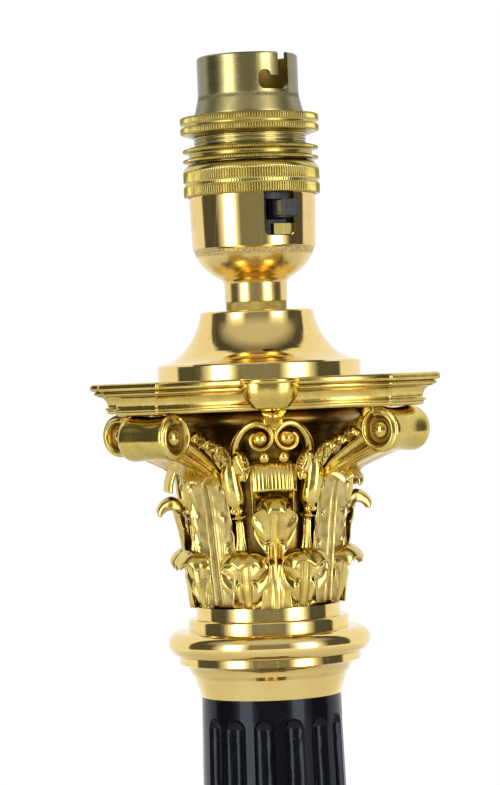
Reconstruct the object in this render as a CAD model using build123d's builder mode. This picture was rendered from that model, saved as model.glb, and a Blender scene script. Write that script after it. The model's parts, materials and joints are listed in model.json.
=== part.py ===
from build123d import *
import math
import os

# Column table lamp with a Corinthian capital and a switched bayonet lampholder.
# Millimetres, +Z up. The origin is the middle of the underside of the base, and the
# front of the square base and of the capital looks along -Y.
# The lamp is built as it is assembled: a threaded tube runs from the base up to the
# lampholder, and nuts on it clamp the base, the column and the capital together.

os.makedirs("parts", exist_ok=True)

# ---------------------------------------------------------------- clearances
slip = 0.15  # round a piece that is pushed over another by hand
tube_gap = 0.4  # round the threaded tube where it passes through a piece
thread_gap = 0.05  # round the threaded tube inside a nut
running = 0.06  # round a piece that turns or slides in a round hole
bar_gap = 0.3  # round the switch bar in its slot

# ---------------------------------------------------------------- threaded tube and nuts
tube_r = 5.0
tube_bore_r = 3.7
nut_flats = 14.0
nut_height = 5.0
washer_r = 12.0
washer_height = 1.5
tube_tail = 2.5

# ---------------------------------------------------------------- base
felt_thickness = 1.5
felt_inset = 3.0
base_width = 140.0
base_wall = 3.0
foot_height = 14.0
foot_ledge = 3.5
cavetto_r = 8.0
band_height = 2.0
step_ledge = 2.0
step_height = 7.0
ovolo_r = 6.0
upper_step_width = 86.0
upper_step_height = 6.0
tile_width = 66.0
tile_height = 6.0
edge_r = 0.8
weight_gap = 3.5  # between the weight and the walls of its chamber
weight_height = 14.0

# cord inlet at the back of the base
cord_hole_r = 3.3
bush_barrel_r = 4.5
bush_flange_r = 5.4
bush_flange_height = 1.0
bush_tail = 3.0
bush_roof_gap = 0.3

# ---------------------------------------------------------------- turned ring under the shaft
ring_r = 31.0
ring_lower_bead = 4.5
ring_fillet = 1.5
ring_fillet_step = 3.2
ring_waist_r = 23.6
ring_scotia = 7.0
ring_scotia_deepest = 0.6
ring_upper_r = 27.0
ring_upper_bead = 3.2
ring_lip = 1.8
ring_lip_height = 3.0
ring_wall = 4.0

# ---------------------------------------------------------------- fluted shaft
shaft_length = 283.0
shaft_foot_r = 20.8
shaft_top_r = 17.4
shaft_bore_r = 12.0
shaft_head = 12.0
spigot_r = 11.0
spigot_height = 6.0
flute_count = 15
flute_share = 0.74
flute_depth_share = 0.31
flute_margin = 4.6

# ---------------------------------------------------------------- necking collar
collar_flare_r = 19.0
collar_flare = 5.0
collar_neck_r = 19.9
collar_neck = 1.0
collar_band_r = 22.7
collar_curve = 2.5
collar_band = 1.8
collar_torus_r = 25.25
collar_bead = 3.1
collar_ring_r = 20.0
collar_ring = 3.0
collar_top_r = 18.0
collar_top = 3.0
collar_hollow_r = 14.0
collar_web = 5.0

# ---------------------------------------------------------------- bell and leaves of the capital
bell_height = 48.4
bell_neck_r = 17.8
bell_straight = 28.0
bell_lip_r = 25.2
bell_lip = 2.4
bell_hollow_r = 14.2
bell_web = 4.5
leaf_count = 8
leaf_reach = 34.0
leaf_span = 40.0
leaf_thickness = 1.7
leaf_curl_r = 0.8
leaf_hang = 1.0
leaf_foot_r = 19.3
leaf_root_share = 0.45
leaf_belly_share = 0.3
leaf_belly_height = 0.55
leaf_lobe = 0.9
leaf_lobe_share = 0.82
leaf_notches = (0.94, 0.86, 0.74, 0.54)
leaf_shoulder = (0.75, 0.62)
leaf_rib = 0.45
leaf_rib_width = 1.6

lower_leaf_width = 14.6
lower_leaf_curl_z = 10.6
lower_leaf_tip_r = 24.5
upper_leaf_low = 7.0
upper_leaf_width = 13.4
upper_leaf_curl_z = 25.2
upper_leaf_tip_r = 26.4
corner_leaf_width = 13.0
corner_leaf_curl_z = 30.0
corner_leaf_tip_r = 30.5

fold_leaf_low = 19.0
fold_width = 10.6
fold_tip_z = 31.1
fold_top = 36.2
fold_r = 23.9
fold_notches = (0.8, 0.95, 1.0, 0.96)

# corner scrolls, inner helices and the fluted stalks that they spring from
scroll_r = 4.9
scroll_out = 41.8
scroll_half = 7.4
scroll_stalk_half = 5.2
scroll_stalk_low = 27.0
scroll_stalk_high = 36.5
scroll_rise = 2.6
scroll_throat = (0.75, 0.6)
scroll_eye_r = 1.6
helix_apart = 7.8
helix_z = 42.3
helix_r = 3.6
helix_front = 27.4
helix_band = 2.2
helix_eye_r = 1.2
stalk_apart = 18.4
stalk_out = 21.4
stalk_low = 25.6
stalk_height = 9.6
stalk_low_r = 1.9
stalk_top_r = 2.9

# ---------------------------------------------------------------- abacus
abacus_height = 7.9
abacus_bead = 0.8
abacus_fillet = 1.3
abacus_hollow_share = 0.98
abacus_levels = (0.0, 0.5, 0.8, 0.95, 1.0)
horn_out = 49.0
horn_half = 9.75
horn_setback = 3.3
side_mid = 29.0
side_setback = 2.25
boss_r = 6.45
boss_out = 28.0
hood_margin = 0.6

# ---------------------------------------------------------------- spun cap
vase_height = 16.9
vase_top_r = 14.2
vase_flare_sag = 1.3
vase_bend_r = 18.9
vase_bend_z = 7.1
vase_lip_r = 25.1
vase_lip_z = 3.9
vase_disc_r = 25.4
vase_wall = 1.2

# ---------------------------------------------------------------- lampholder cup
lock_nut_r = 7.65
lock_nut_height = 2.3
neck_r = 7.8
neck_height = 4.6
cup_bowl_z = 6.4
cup_bowl_r = 9.6
cup_neck_bulge = 0.3
cup_bowl_bulge = (0.61, 0.41)
cup_shoulder_z = 13.0
cup_shoulder_r = 15.0
cup_belt_r = 15.4
cup_rim_r = 15.85
cup_rim_z = 26.0
cup_thread_r = 15.6
cup_height = 30.9
cup_wall = 0.9
grub_r = 1.5
grub_z = 2.3
grub_slot = 0.5

# ring that screws over the cup and holds the barrel
cap_ring_low = 26.4
cap_ring_height = 8.2
cap_ring_r = 17.0
cap_ring_groove_r = 16.7
cap_ring_groove_low = 2.5
cap_ring_groove = 1.1
cap_ring_dome = 2.2
cap_ring_lip = 1.7
cap_ring_top_r = 15.0
cap_ring_dome_bulge = (0.3, 0.7)

# ---------------------------------------------------------------- moulded core and contacts
core_rim = 1.0
core_skirt = 6.2
core_block_low = 15.4
core_block_r = 13.3
core_nose = 10.0
core_nose_r = 11.7
contact_azimuth = 105.0
contact_apart = 11.0
contact_r = 2.4
contact_head_round = 1.0
contact_out = 6.0
spring_solid = 6.2
contact_travel = 3.0
contact_floor_web = 1.6
spring_r = 2.2
spring_bore_r = 1.5
terminal_size = 6.0
terminal_drop = 5.0
terminal_apart = 11.0
terminal_screw_r = 1.5
terminal_head_r = 2.2
terminal_head = 1.2
plate_azimuth = 26.0
plate_width = 5.4
plate_height = 2.7
plate_low = 16.0
plate_thickness = 1.0

# ---------------------------------------------------------------- bayonet barrel
barrel_r = 12.6
barrel_bore_r = 11.4
barrel_bore_length = 12.0
barrel_wide_bore_r = 11.9
barrel_thread_r = 13.9
barrel_foot_r = 15.4
barrel_flange = 1.0
barrel_length = 29.3
barrel_thread_top = 15.0
barrel_flare_r = 13.6
barrel_flare_top = 19.2
slot_width = 3.35
slot_entry_azimuth = 40.0
slot_turn = 25.0
slot_low = 20.1
slot_pocket_top = 24.9

# ---------------------------------------------------------------- shade rings
shade_lower_gap = 0.4
shade_lower_height = 3.9
shade_lower_r = 16.9
shade_lower_groove_r = 15.4
shade_lower_top_r = 14.9
shade_flange = 0.8
shade_flange_apart = 2.5
shade_upper_z = 10.0
shade_upper_height = 5.0
shade_upper_r = 17.3
shade_upper_groove_r = 17.0
shade_upper_band_high = 2.0
shade_upper_groove = 1.4
shade_lip = 0.5
shade_lip_r = 15.3

# ---------------------------------------------------------------- switch bar
bar_azimuth = 20.7
bar_width = 4.6
bar_height = 4.4
bar_z = 22.2
bar_out = 21.2
bar_in = 16.7
window_width = 8.3
window_low = 15.7
window_corner_r = 1.5
bar_corner_r = 0.6

# ---------------------------------------------------------------- heights of the stack
base_z = felt_thickness
bush_z = base_z + foot_height - base_wall - bush_barrel_r - slip - bush_roof_gap
waist_z = foot_height + cavetto_r
step_z = waist_z + band_height
dome_z = step_z + step_height
upper_z = dome_z + ovolo_r
tile_z = upper_z + upper_step_height
ring_z = base_z + tile_z + tile_height
ring_waist_z = 2 * ring_lower_bead + ring_fillet
ring_scotia_top = ring_waist_z + ring_scotia
ring_bead_z = ring_scotia_top + ring_fillet
ring_top = ring_bead_z + 2 * ring_upper_bead
shaft_z = ring_z + ring_top
collar_z = shaft_z + shaft_length
collar_curve_z = collar_flare + collar_neck
collar_band_z = collar_curve_z + collar_curve
collar_bead_z = collar_band_z + collar_band
collar_ring_z = collar_bead_z + 2 * collar_bead
collar_top_z = collar_ring_z + collar_ring
collar_height = collar_top_z + collar_top
capital_z = collar_z + collar_height
abacus_z = capital_z + bell_height
vase_z = abacus_z + abacus_height
lock_z = vase_z + vase_height
holder_z = lock_z + lock_nut_height
core_z = holder_z + cup_height
barrel_z = core_z + core_rim
step_width = base_width - 2 * (foot_ledge + cavetto_r + step_ledge)
weight_r = step_width / 2 - base_wall - weight_gap
weight_z = base_z + dome_z - base_wall - weight_height
base_washer_z = weight_z - washer_height
base_nut_z = base_washer_z - nut_height
tube_low = base_nut_z - tube_tail
tube_hole_r = tube_r + tube_gap
thread_hole_r = tube_r + thread_gap


def outward(azimuth):
    """The level direction at an azimuth, counted from the front (-Y) towards +X."""
    turn = math.radians(azimuth)
    return Vector(math.sin(turn), -math.cos(turn), 0)


def radial_plane(azimuth, z=0.0):
    """An upright plane through the lamp's axis: its x runs outward, its y runs up."""
    ahead = outward(azimuth)
    up = Vector(0, 0, 1)
    return Plane(origin=up * z, x_dir=ahead, z_dir=ahead.cross(up))


def facing_plane(azimuth, out=0.0, z=0.0):
    """An upright plane square to an azimuth: its x runs sideways, its y runs up."""
    ahead = outward(azimuth)
    up = Vector(0, 0, 1)
    return Plane(origin=ahead * out + up * z, x_dir=up.cross(ahead), z_dir=ahead)


def turning_plane(z):
    """The plane that holds half of a turned piece's section, with its foot at z."""
    return radial_plane(90, z)


def save(piece, name):
    """Label a finished piece and write it under its own name."""
    piece.part.label = name
    export_step(piece.part, f"parts/{name}.step")


# ---------------------------------------------------------------- stepped base
def base_section():
    """The cross-section of the base's mouldings: half an outline and its mirror image."""
    foot = base_width / 2
    ledge = foot - foot_ledge
    waist = ledge - cavetto_r
    step = waist - step_ledge
    dome = step - ovolo_r
    upper = upper_step_width / 2
    tile = tile_width / 2
    top = tile_z + tile_height
    with BuildSketch() as outline:
        with BuildLine():
            Polyline((0, 0), (foot, 0), (foot, foot_height), (ledge, foot_height))
            CenterArc((ledge, waist_z), cavetto_r, -90, -90)
            Polyline((waist, waist_z), (waist, step_z), (step, step_z), (step, dome_z))
            CenterArc((dome, dome_z), ovolo_r, 0, 90)
            Polyline((dome, upper_z), (upper, upper_z), (upper, tile_z), (tile, tile_z))
            Polyline((tile, tile_z), (tile, top), (0, top), (0, 0))
        make_face()
        corners = ((foot, foot_height), (upper, tile_z), (tile, top))
        fillet([outline.vertices().sort_by_distance(spot)[0] for spot in corners], edge_r)
        mirror(about=Plane.YZ)
    return outline.sketch


with BuildPart() as stepped_base:
    # Two crossed lengths of one moulding have the mitred square block in common.
    with BuildSketch(radial_plane(90, base_z)):
        add(base_section())
    extrude(amount=base_width / 2, both=True)
    with BuildSketch(radial_plane(180, base_z)):
        add(base_section())
    extrude(amount=base_width / 2, both=True, mode=Mode.INTERSECT)
    # The casting is hollow in three steps, with its walls about as thick all over.
    chambers = (
        (base_width, foot_height),
        (step_width, dome_z),
        (upper_step_width, tile_z),
    )
    for outer_width, outer_top in chambers:
        with BuildSketch(Plane.XY.offset(base_z)):
            Rectangle(outer_width - 2 * base_wall, outer_width - 2 * base_wall)
        extrude(amount=outer_top - base_wall, mode=Mode.SUBTRACT)
    with BuildSketch(Plane.XY.offset(base_z)):
        Circle(tube_hole_r)
    extrude(amount=tile_z + tile_height, mode=Mode.SUBTRACT)
    # The cord's bush goes in from the back, with its flange let in flush.
    with BuildSketch(facing_plane(180, base_width / 2, bush_z)):
        Circle(bush_flange_r + slip)
    extrude(amount=-bush_flange_height, mode=Mode.SUBTRACT)
    with BuildSketch(facing_plane(180, base_width / 2, bush_z)):
        Circle(bush_barrel_r + slip)
    extrude(amount=-base_wall, mode=Mode.SUBTRACT)
save(stepped_base, "stepped_base")

with BuildPart() as base_felt:
    with BuildSketch():
        RectangleRounded(base_width - 2 * felt_inset, base_width - 2 * felt_inset, felt_inset)
    extrude(amount=felt_thickness)
save(base_felt, "base_felt")

with BuildPart() as base_weight:
    with BuildSketch(Plane.XY.offset(weight_z)):
        Circle(weight_r)
        Circle(tube_hole_r, mode=Mode.SUBTRACT)
    extrude(amount=weight_height)
    fillet(base_weight.edges().group_by(SortBy.LENGTH)[-1], edge_r)
save(base_weight, "base_weight")

with BuildPart() as cord_bush:
    with BuildSketch(facing_plane(180, base_width / 2, bush_z)):
        Circle(bush_flange_r)
    extrude(amount=-bush_flange_height)
    with BuildSketch(facing_plane(180, base_width / 2, bush_z)):
        Circle(bush_barrel_r)
    extrude(amount=-(base_wall + bush_tail))
    with BuildSketch(facing_plane(180, base_width / 2, bush_z)):
        Circle(cord_hole_r)
    extrude(amount=-(base_wall + bush_tail), mode=Mode.SUBTRACT)
save(cord_bush, "cord_bush")


# ---------------------------------------------------------------- threaded tube, nuts and washers
def washer(z):
    """A plain washer on the threaded tube."""
    with BuildPart() as piece:
        with BuildSketch(Plane.XY.offset(z)):
            Circle(washer_r)
            Circle(tube_hole_r, mode=Mode.SUBTRACT)
        extrude(amount=washer_height)
    return piece


def hexagon_nut(z):
    """A hexagon nut on the threaded tube."""
    with BuildPart() as piece:
        with BuildSketch(Plane.XY.offset(z)):
            RegularPolygon(nut_flats / 2, 6, major_radius=False)
            Circle(thread_hole_r, mode=Mode.SUBTRACT)
        extrude(amount=nut_height)
    return piece


save(washer(base_washer_z), "base_washer")
save(hexagon_nut(base_nut_z), "base_nut")
save(washer(vase_z), "clamp_washer")
save(hexagon_nut(vase_z + washer_height), "clamp_nut")

with BuildPart() as threaded_rod:
    with BuildSketch(Plane.XY.offset(tube_low)):
        Circle(tube_r)
        Circle(tube_bore_r, mode=Mode.SUBTRACT)
    extrude(amount=holder_z + neck_height - tube_low)
save(threaded_rod, "threaded_rod")

# ---------------------------------------------------------------- turned ring under the shaft
ring_fillet_r = ring_r - ring_fillet_step
ring_high_fillet_r = ring_upper_r - ring_fillet_step / 2
socket_r = shaft_foot_r + slip
with BuildPart() as column_base_ring:
    with BuildSketch(turning_plane(ring_z)):
        with BuildLine():
            lower_mid = ring_r - ring_lower_bead
            upper_mid = ring_upper_r - ring_upper_bead
            lip_r = socket_r + ring_lip
            Line((tube_hole_r, 0), (lower_mid, 0))
            CenterArc((lower_mid, ring_lower_bead), ring_lower_bead, -90, 180)
            Polyline(
                (lower_mid, 2 * ring_lower_bead),
                (ring_fillet_r, 2 * ring_lower_bead),
                (ring_fillet_r, ring_waist_z),
            )
            ThreePointArc(
                (ring_fillet_r, ring_waist_z),
                (ring_waist_r, ring_waist_z + ring_scotia * ring_scotia_deepest),
                (ring_high_fillet_r, ring_scotia_top),
            )
            Polyline(
                (ring_high_fillet_r, ring_scotia_top),
                (ring_high_fillet_r, ring_bead_z),
                (upper_mid, ring_bead_z),
            )
            CenterArc((upper_mid, ring_bead_z + ring_upper_bead), ring_upper_bead, -90, 180)
            Polyline(
                (upper_mid, ring_top),
                (lip_r, ring_top),
                (socket_r + ring_lip / 2, ring_top + ring_lip_height),
                (socket_r, ring_top + ring_lip_height),
                (socket_r, ring_top),
                (tube_hole_r, ring_top),
                (tube_hole_r, 0),
            )
        make_face()
    revolve(axis=Axis.Z)
    with BuildSketch(Plane.XY.offset(ring_z)):
        Circle(ring_waist_r - ring_wall)
    extrude(amount=ring_scotia_top, mode=Mode.SUBTRACT)
save(column_base_ring, "column_base_ring")

# ---------------------------------------------------------------- fluted shaft
entasis_r = (shaft_length**2 + (shaft_foot_r - shaft_top_r) ** 2) / (
    2 * (shaft_foot_r - shaft_top_r)
)


def shaft_r(height):
    """The radius of the shaft's arrises at a height above its foot: one long arc."""
    return shaft_foot_r - entasis_r + math.sqrt(entasis_r**2 - height**2)


def flute_at(height):
    """Half the width of a flute, its tool's radius and that tool's distance out."""
    half = flute_share * math.pi * shaft_r(height) / flute_count
    depth = 2 * half * flute_depth_share
    tool = (half**2 + depth**2) / (2 * depth)
    return half, tool, shaft_r(height) - depth + tool


flute_low = ring_lip_height + flute_margin + flute_at(0)[0]
flute_high = shaft_length - flute_margin - flute_at(shaft_length)[0]
with BuildPart() as flute:
    for height in (flute_low, (flute_low + flute_high) / 2, flute_high):
        half, tool, out = flute_at(height)
        with BuildSketch(Plane.XY.offset(shaft_z + height)):
            with Locations(outward(0) * out):
                Circle(tool)
    loft()
    for height in (flute_low, flute_high):
        half, tool, out = flute_at(height)
        with Locations(outward(0) * out + Vector(0, 0, shaft_z + height)):
            Sphere(tool)

with BuildPart() as column_shaft:
    with BuildSketch(turning_plane(shaft_z)):
        with BuildLine():
            Line((0, 0), (shaft_foot_r, 0))
            ThreePointArc(
                (shaft_foot_r, 0),
                (shaft_r(shaft_length / 2), shaft_length / 2),
                (shaft_top_r, shaft_length),
            )
            Polyline(
                (shaft_top_r, shaft_length),
                (spigot_r, shaft_length),
                (spigot_r, shaft_length + spigot_height),
                (0, shaft_length + spigot_height),
                (0, 0),
            )
        make_face()
    revolve(axis=Axis.Z)
    with PolarLocations(0, flute_count, start_angle=180 / flute_count):
        add(flute.part, mode=Mode.SUBTRACT)
    with BuildSketch(Plane.XY.offset(shaft_z)):
        Circle(shaft_bore_r)
    extrude(amount=shaft_length - shaft_head, mode=Mode.SUBTRACT)
    with BuildSketch(Plane.XY.offset(shaft_z)):
        Circle(tube_hole_r)
    extrude(amount=shaft_length + spigot_height, mode=Mode.SUBTRACT)
save(column_shaft, "column_shaft")

# ---------------------------------------------------------------- necking collar
with BuildPart() as capital_collar:
    with BuildSketch(turning_plane(collar_z)):
        with BuildLine():
            bead_mid = collar_torus_r - collar_bead
            Polyline(
                (0, 0),
                (shaft_top_r, 0),
                (collar_flare_r, collar_flare),
                (collar_neck_r, collar_curve_z),
            )
            RadiusArc(
                (collar_neck_r, collar_curve_z),
                (collar_band_r, collar_band_z),
                collar_band_r - collar_neck_r + edge_r,
            )
            Polyline(
                (collar_band_r, collar_band_z),
                (collar_band_r, collar_bead_z),
                (bead_mid, collar_bead_z),
            )
            CenterArc((bead_mid, collar_bead_z + collar_bead), collar_bead, -90, 180)
            Polyline(
                (bead_mid, collar_ring_z),
                (collar_ring_r, collar_ring_z),
                (collar_ring_r, collar_top_z - edge_r),
            )
            CenterArc(
                (collar_ring_r - edge_r, collar_top_z - edge_r), edge_r, 0, 90
            )
            Polyline(
                (collar_ring_r - edge_r, collar_top_z),
                (collar_top_r, collar_top_z),
                (collar_top_r, collar_height),
                (0, collar_height),
                (0, 0),
            )
        make_face()
    revolve(axis=Axis.Z)
    with BuildSketch(Plane.XY.offset(collar_z)):
        Circle(spigot_r + slip)
    extrude(amount=spigot_height + slip, mode=Mode.SUBTRACT)
    with BuildSketch(Plane.XY.offset(collar_z)):
        Circle(tube_hole_r)
    extrude(amount=collar_height, mode=Mode.SUBTRACT)
    with BuildSketch(Plane.XY.offset(collar_z + spigot_height + collar_web)):
        Circle(collar_hollow_r)
    extrude(amount=collar_height, mode=Mode.SUBTRACT)
save(capital_collar, "capital_collar")


# ---------------------------------------------------------------- acanthus leaves
def leaf_section(low, curl_z, tip_r, hang, swell=0.0):
    """A leaf cut down its middle: it climbs the bell and turns over at its tip."""
    hook = leaf_curl_r + leaf_thickness
    middle = tip_r - hook
    front = middle - leaf_curl_r + swell
    back = middle - hook - swell
    hollow = leaf_curl_r - swell
    tip_half = (hook + swell - hollow) / 2
    tip_z = curl_z - hang
    root_r = bell_neck_r - leaf_thickness
    root_z = curl_z - leaf_root_share * (curl_z - low)
    foot = leaf_foot_r + swell
    with BuildSketch() as section:
        with BuildLine():
            belly = (
                foot + leaf_belly_share * (front - foot),
                low + leaf_belly_height * (curl_z - low),
            )
            ThreePointArc((foot, low), belly, (front, curl_z))
            CenterArc((middle, curl_z), hollow, 180, -180)
            Line((middle + hollow, curl_z), (middle + hollow, tip_z))
            CenterArc((middle + hollow + tip_half, tip_z), tip_half, 180, 180)
            Line((tip_r + swell, tip_z), (tip_r + swell, curl_z))
            CenterArc((middle, curl_z), hook + swell, 0, 180)
            Polyline((back, curl_z), (root_r, root_z), (root_r, low), (foot, low))
        make_face()
    return section.sketch


def leaf_outline(width, low, top, notches):
    """The lobed outline of a leaf seen from the front, with notches between its lobes."""
    reach = leaf_lobe_share * (top - low)
    steps = len(notches)
    spots = [
        (width / 2 * share, low + reach * index / (steps - 1))
        for index, share in enumerate(notches)
    ]
    with BuildSketch() as outline:
        with BuildLine():
            for (low_x, low_y), (high_x, high_y) in zip(spots, spots[1:]):
                bulge = ((low_x + high_x) / 2 + leaf_lobe, (low_y + high_y) / 2)
                ThreePointArc((low_x, low_y), bulge, (high_x, high_y))
            end_x, end_y = spots[-1]
            shoulder_x, shoulder_y = leaf_shoulder
            shoulder = (end_x * shoulder_x, end_y + (top - end_y) * shoulder_y)
            ThreePointArc((end_x, end_y), shoulder, (0, top))
            Polyline((0, top), (0, low), spots[0])
        make_face()
        mirror(about=Plane.YZ)
    return outline.sketch


def acanthus_leaf(width, low, curl_z, tip_r, hang=leaf_hang, notches=leaf_notches):
    """One leaf at the front: bent round the bell, cut to its outline, with a midrib."""
    top = curl_z + leaf_curl_r + leaf_thickness + leaf_rib
    with BuildPart() as leaf:
        with BuildSketch(radial_plane(-leaf_span / 2, capital_z)):
            add(leaf_section(low, curl_z, tip_r, hang))
        revolve(axis=Axis.Z, revolution_arc=leaf_span)
        with BuildSketch(facing_plane(0, 0, capital_z)):
            add(leaf_outline(width, low, top, notches))
        extrude(amount=leaf_reach, mode=Mode.INTERSECT)
        with BuildSketch(radial_plane(0, capital_z)):
            add(leaf_section(low, curl_z, tip_r, hang, leaf_rib))
        extrude(amount=leaf_rib_width / 2, both=True)
    return leaf.part


lower_leaf = acanthus_leaf(lower_leaf_width, 0, lower_leaf_curl_z, lower_leaf_tip_r)
upper_leaf = acanthus_leaf(
    upper_leaf_width, upper_leaf_low, upper_leaf_curl_z, upper_leaf_tip_r
)
corner_leaf = acanthus_leaf(
    corner_leaf_width, upper_leaf_low, corner_leaf_curl_z, corner_leaf_tip_r
)
fold_curl_z = fold_top - leaf_curl_r - leaf_thickness
fold_leaf = acanthus_leaf(
    fold_width, fold_leaf_low, fold_curl_z, fold_r, fold_curl_z - fold_tip_z, fold_notches
)


# ---------------------------------------------------------------- scrolls, helices and stalks
scroll_z = bell_height - scroll_r
stalk_top = stalk_low + stalk_height


def corner_scroll():
    """A scroll at the front: a band that rises from the bell into a level roll."""
    with BuildPart() as scroll:
        with BuildSketch(radial_plane(0, capital_z)):
            with BuildLine():
                inside = bell_hollow_r + leaf_thickness
                middle = (inside + scroll_out) / 2
                rise = scroll_z - scroll_r
                throat_in, throat_up = scroll_throat
                neck = (scroll_out - throat_in * scroll_r, scroll_z + throat_up * scroll_r)
                ThreePointArc(
                    (inside, scroll_stalk_low),
                    (middle, (scroll_stalk_low + rise) / 2 + scroll_rise),
                    (scroll_out, rise),
                )
                Polyline((scroll_out, rise), (scroll_out, scroll_z), neck)
                ThreePointArc(
                    neck,
                    (middle, (scroll_stalk_high + neck[1]) / 2 + scroll_rise / 2),
                    (inside, scroll_stalk_high),
                )
                Line((inside, scroll_stalk_high), (inside, scroll_stalk_low))
            make_face()
        extrude(amount=scroll_stalk_half, both=True)
        with BuildSketch(radial_plane(0, capital_z)):
            with Locations((scroll_out, scroll_z)):
                Circle(scroll_r)
        extrude(amount=scroll_half, both=True)
        for side in (-scroll_half, scroll_half):
            with Locations((side, -scroll_out, capital_z + scroll_z)):
                Sphere(scroll_eye_r)
    return scroll.part


def helix_pair():
    """The two small scrolls at the middle of the front, with their fluted stalks."""
    with BuildPart() as pair:
        for side in (-1, 1):
            eye_x = side * helix_apart / 2
            stalk_x = side * stalk_apart / 2
            with BuildSketch(facing_plane(0, bell_neck_r, capital_z)):
                with Locations((eye_x, helix_z)):
                    Circle(helix_r)
            extrude(amount=helix_front - bell_neck_r)
            with BuildSketch(facing_plane(0, bell_neck_r, capital_z)):
                with BuildLine():
                    ThreePointArc(
                        (stalk_x, stalk_top - helix_band),
                        ((stalk_x + eye_x) / 2 + side * helix_band, helix_z),
                        (eye_x, helix_z + helix_r - helix_band / 2),
                    )
                trace(line_width=helix_band)
            extrude(amount=stalk_out - bell_neck_r + stalk_top_r)
            with Locations((eye_x, -helix_front, capital_z + helix_z)):
                Sphere(helix_eye_r)
            with Locations((stalk_x, -stalk_out, capital_z + stalk_low)):
                Cone(
                    stalk_low_r,
                    stalk_top_r,
                    stalk_height,
                    align=(Align.CENTER, Align.CENTER, Align.MIN),
                )
                Sphere(stalk_low_r)
    return pair.part

with BuildPart() as capital_bell:
    with BuildSketch(turning_plane(capital_z)):
        with BuildLine():
            Polyline((0, 0), (bell_neck_r, 0), (bell_neck_r, bell_straight))
            TangentArc(
                (bell_neck_r, bell_straight),
                (bell_lip_r, bell_height - bell_lip),
                tangent=(0, 1),
            )
            Polyline(
                (bell_lip_r, bell_height - bell_lip),
                (bell_lip_r, bell_height),
                (0, bell_height),
                (0, 0),
            )
        make_face()
    revolve(axis=Axis.Z)
    with BuildSketch(Plane.XY.offset(capital_z)):
        Circle(bell_hollow_r)
    extrude(amount=bell_height - bell_web, mode=Mode.SUBTRACT)
    with BuildSketch(Plane.XY.offset(capital_z)):
        Circle(tube_hole_r)
    extrude(amount=bell_height, mode=Mode.SUBTRACT)
    with PolarLocations(0, leaf_count, start_angle=180 / leaf_count):
        add(lower_leaf)
    with PolarLocations(0, leaf_count // 2):
        add(upper_leaf)
        add(fold_leaf)
        add(helix_pair())
    with PolarLocations(0, leaf_count // 2, start_angle=360 / leaf_count):
        add(corner_leaf)
        add(corner_scroll())
save(capital_bell, "capital_bell")


# ---------------------------------------------------------------- abacus
def abacus_plan(side_inset, horn_inset):
    """The abacus from above: four hollow sides between four horns cut off square."""
    with BuildSketch() as plan:
        with BuildLine():
            for turn in (45, 135, 225, 315):
                along = outward(turn + 90)
                horn = outward(turn) * (horn_out - horn_inset)
                corner = horn + along * (horn_half - side_inset)
                middle = outward(turn + 45) * (side_mid - side_inset)
                next_horn = outward(turn + 90) * (horn_out - horn_inset)
                next_corner = next_horn + outward(turn) * (horn_half - side_inset)
                Line(horn - along * (horn_half - side_inset), corner)
                ThreePointArc(corner, middle, next_corner)
        make_face()
    return plan.sketch


fillet_z = abacus_height - abacus_fillet
with BuildPart() as abacus:
    # The hollow moulding under the fillet is a quarter round, set out at five heights.
    for climb in abacus_levels:
        inset = math.sqrt(1 - (climb * abacus_hollow_share) ** 2)
        level = abacus_bead + climb * (fillet_z - abacus_bead)
        with BuildSketch(Plane.XY.offset(abacus_z + level)):
            add(abacus_plan(side_setback * inset, horn_setback * inset))
    loft()
    with BuildSketch(Plane.XY.offset(abacus_z)):
        add(abacus_plan(side_setback - abacus_bead / 2, horn_setback - abacus_bead / 2))
    extrude(amount=abacus_bead)
    with BuildSketch(Plane.XY.offset(abacus_z + fillet_z)):
        add(abacus_plan(0, 0))
        with PolarLocations(boss_out, 4, start_angle=0):
            Circle(boss_r + hood_margin)
    extrude(amount=abacus_fillet)
    for turn in (0, 90, 180, 270):
        with Locations(outward(turn) * boss_out + Vector(0, 0, abacus_z + fillet_z)):
            Sphere(
                boss_r,
                arc_size1=-90,
                arc_size2=0,
                align=(Align.CENTER, Align.CENTER, Align.MAX),
            )
    with BuildSketch(Plane.XY.offset(abacus_z)):
        Circle(tube_hole_r)
    extrude(amount=abacus_height, mode=Mode.SUBTRACT)
save(abacus, "abacus")

# ---------------------------------------------------------------- spun cap on the abacus
with BuildPart() as vase_cap:
    with BuildSketch(turning_plane(vase_z)):
        with BuildLine():
            flare = ThreePointArc(
                (vase_top_r, vase_height - edge_r),
                (vase_top_r + vase_flare_sag, (vase_height + vase_bend_z) / 2),
                (vase_bend_r, vase_bend_z),
            )
            TangentArc(flare @ 1, (vase_lip_r, vase_lip_z), tangent=flare % 1)
            Polyline(
                (vase_lip_r, vase_lip_z),
                (vase_disc_r, vase_lip_z - edge_r / 2),
                (vase_disc_r, 0),
                (0, 0),
                (0, vase_height),
                (vase_top_r - edge_r, vase_height),
            )
            RadiusArc(
                (vase_top_r - edge_r, vase_height), (vase_top_r, vase_height - edge_r), edge_r
            )
        make_face()
    revolve(axis=Axis.Z)
    offset(amount=-vase_wall, openings=vase_cap.faces().sort_by(Axis.Z)[0])
    with BuildSketch(Plane.XY.offset(vase_z)):
        Circle(tube_hole_r)
    extrude(amount=vase_height, mode=Mode.SUBTRACT)
save(vase_cap, "vase_cap")

# ---------------------------------------------------------------- lampholder cup
with BuildPart() as lock_nut:
    with BuildSketch(Plane.XY.offset(lock_z)):
        Circle(lock_nut_r)
        Circle(thread_hole_r, mode=Mode.SUBTRACT)
    extrude(amount=lock_nut_height)
save(lock_nut, "lock_nut")

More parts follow.
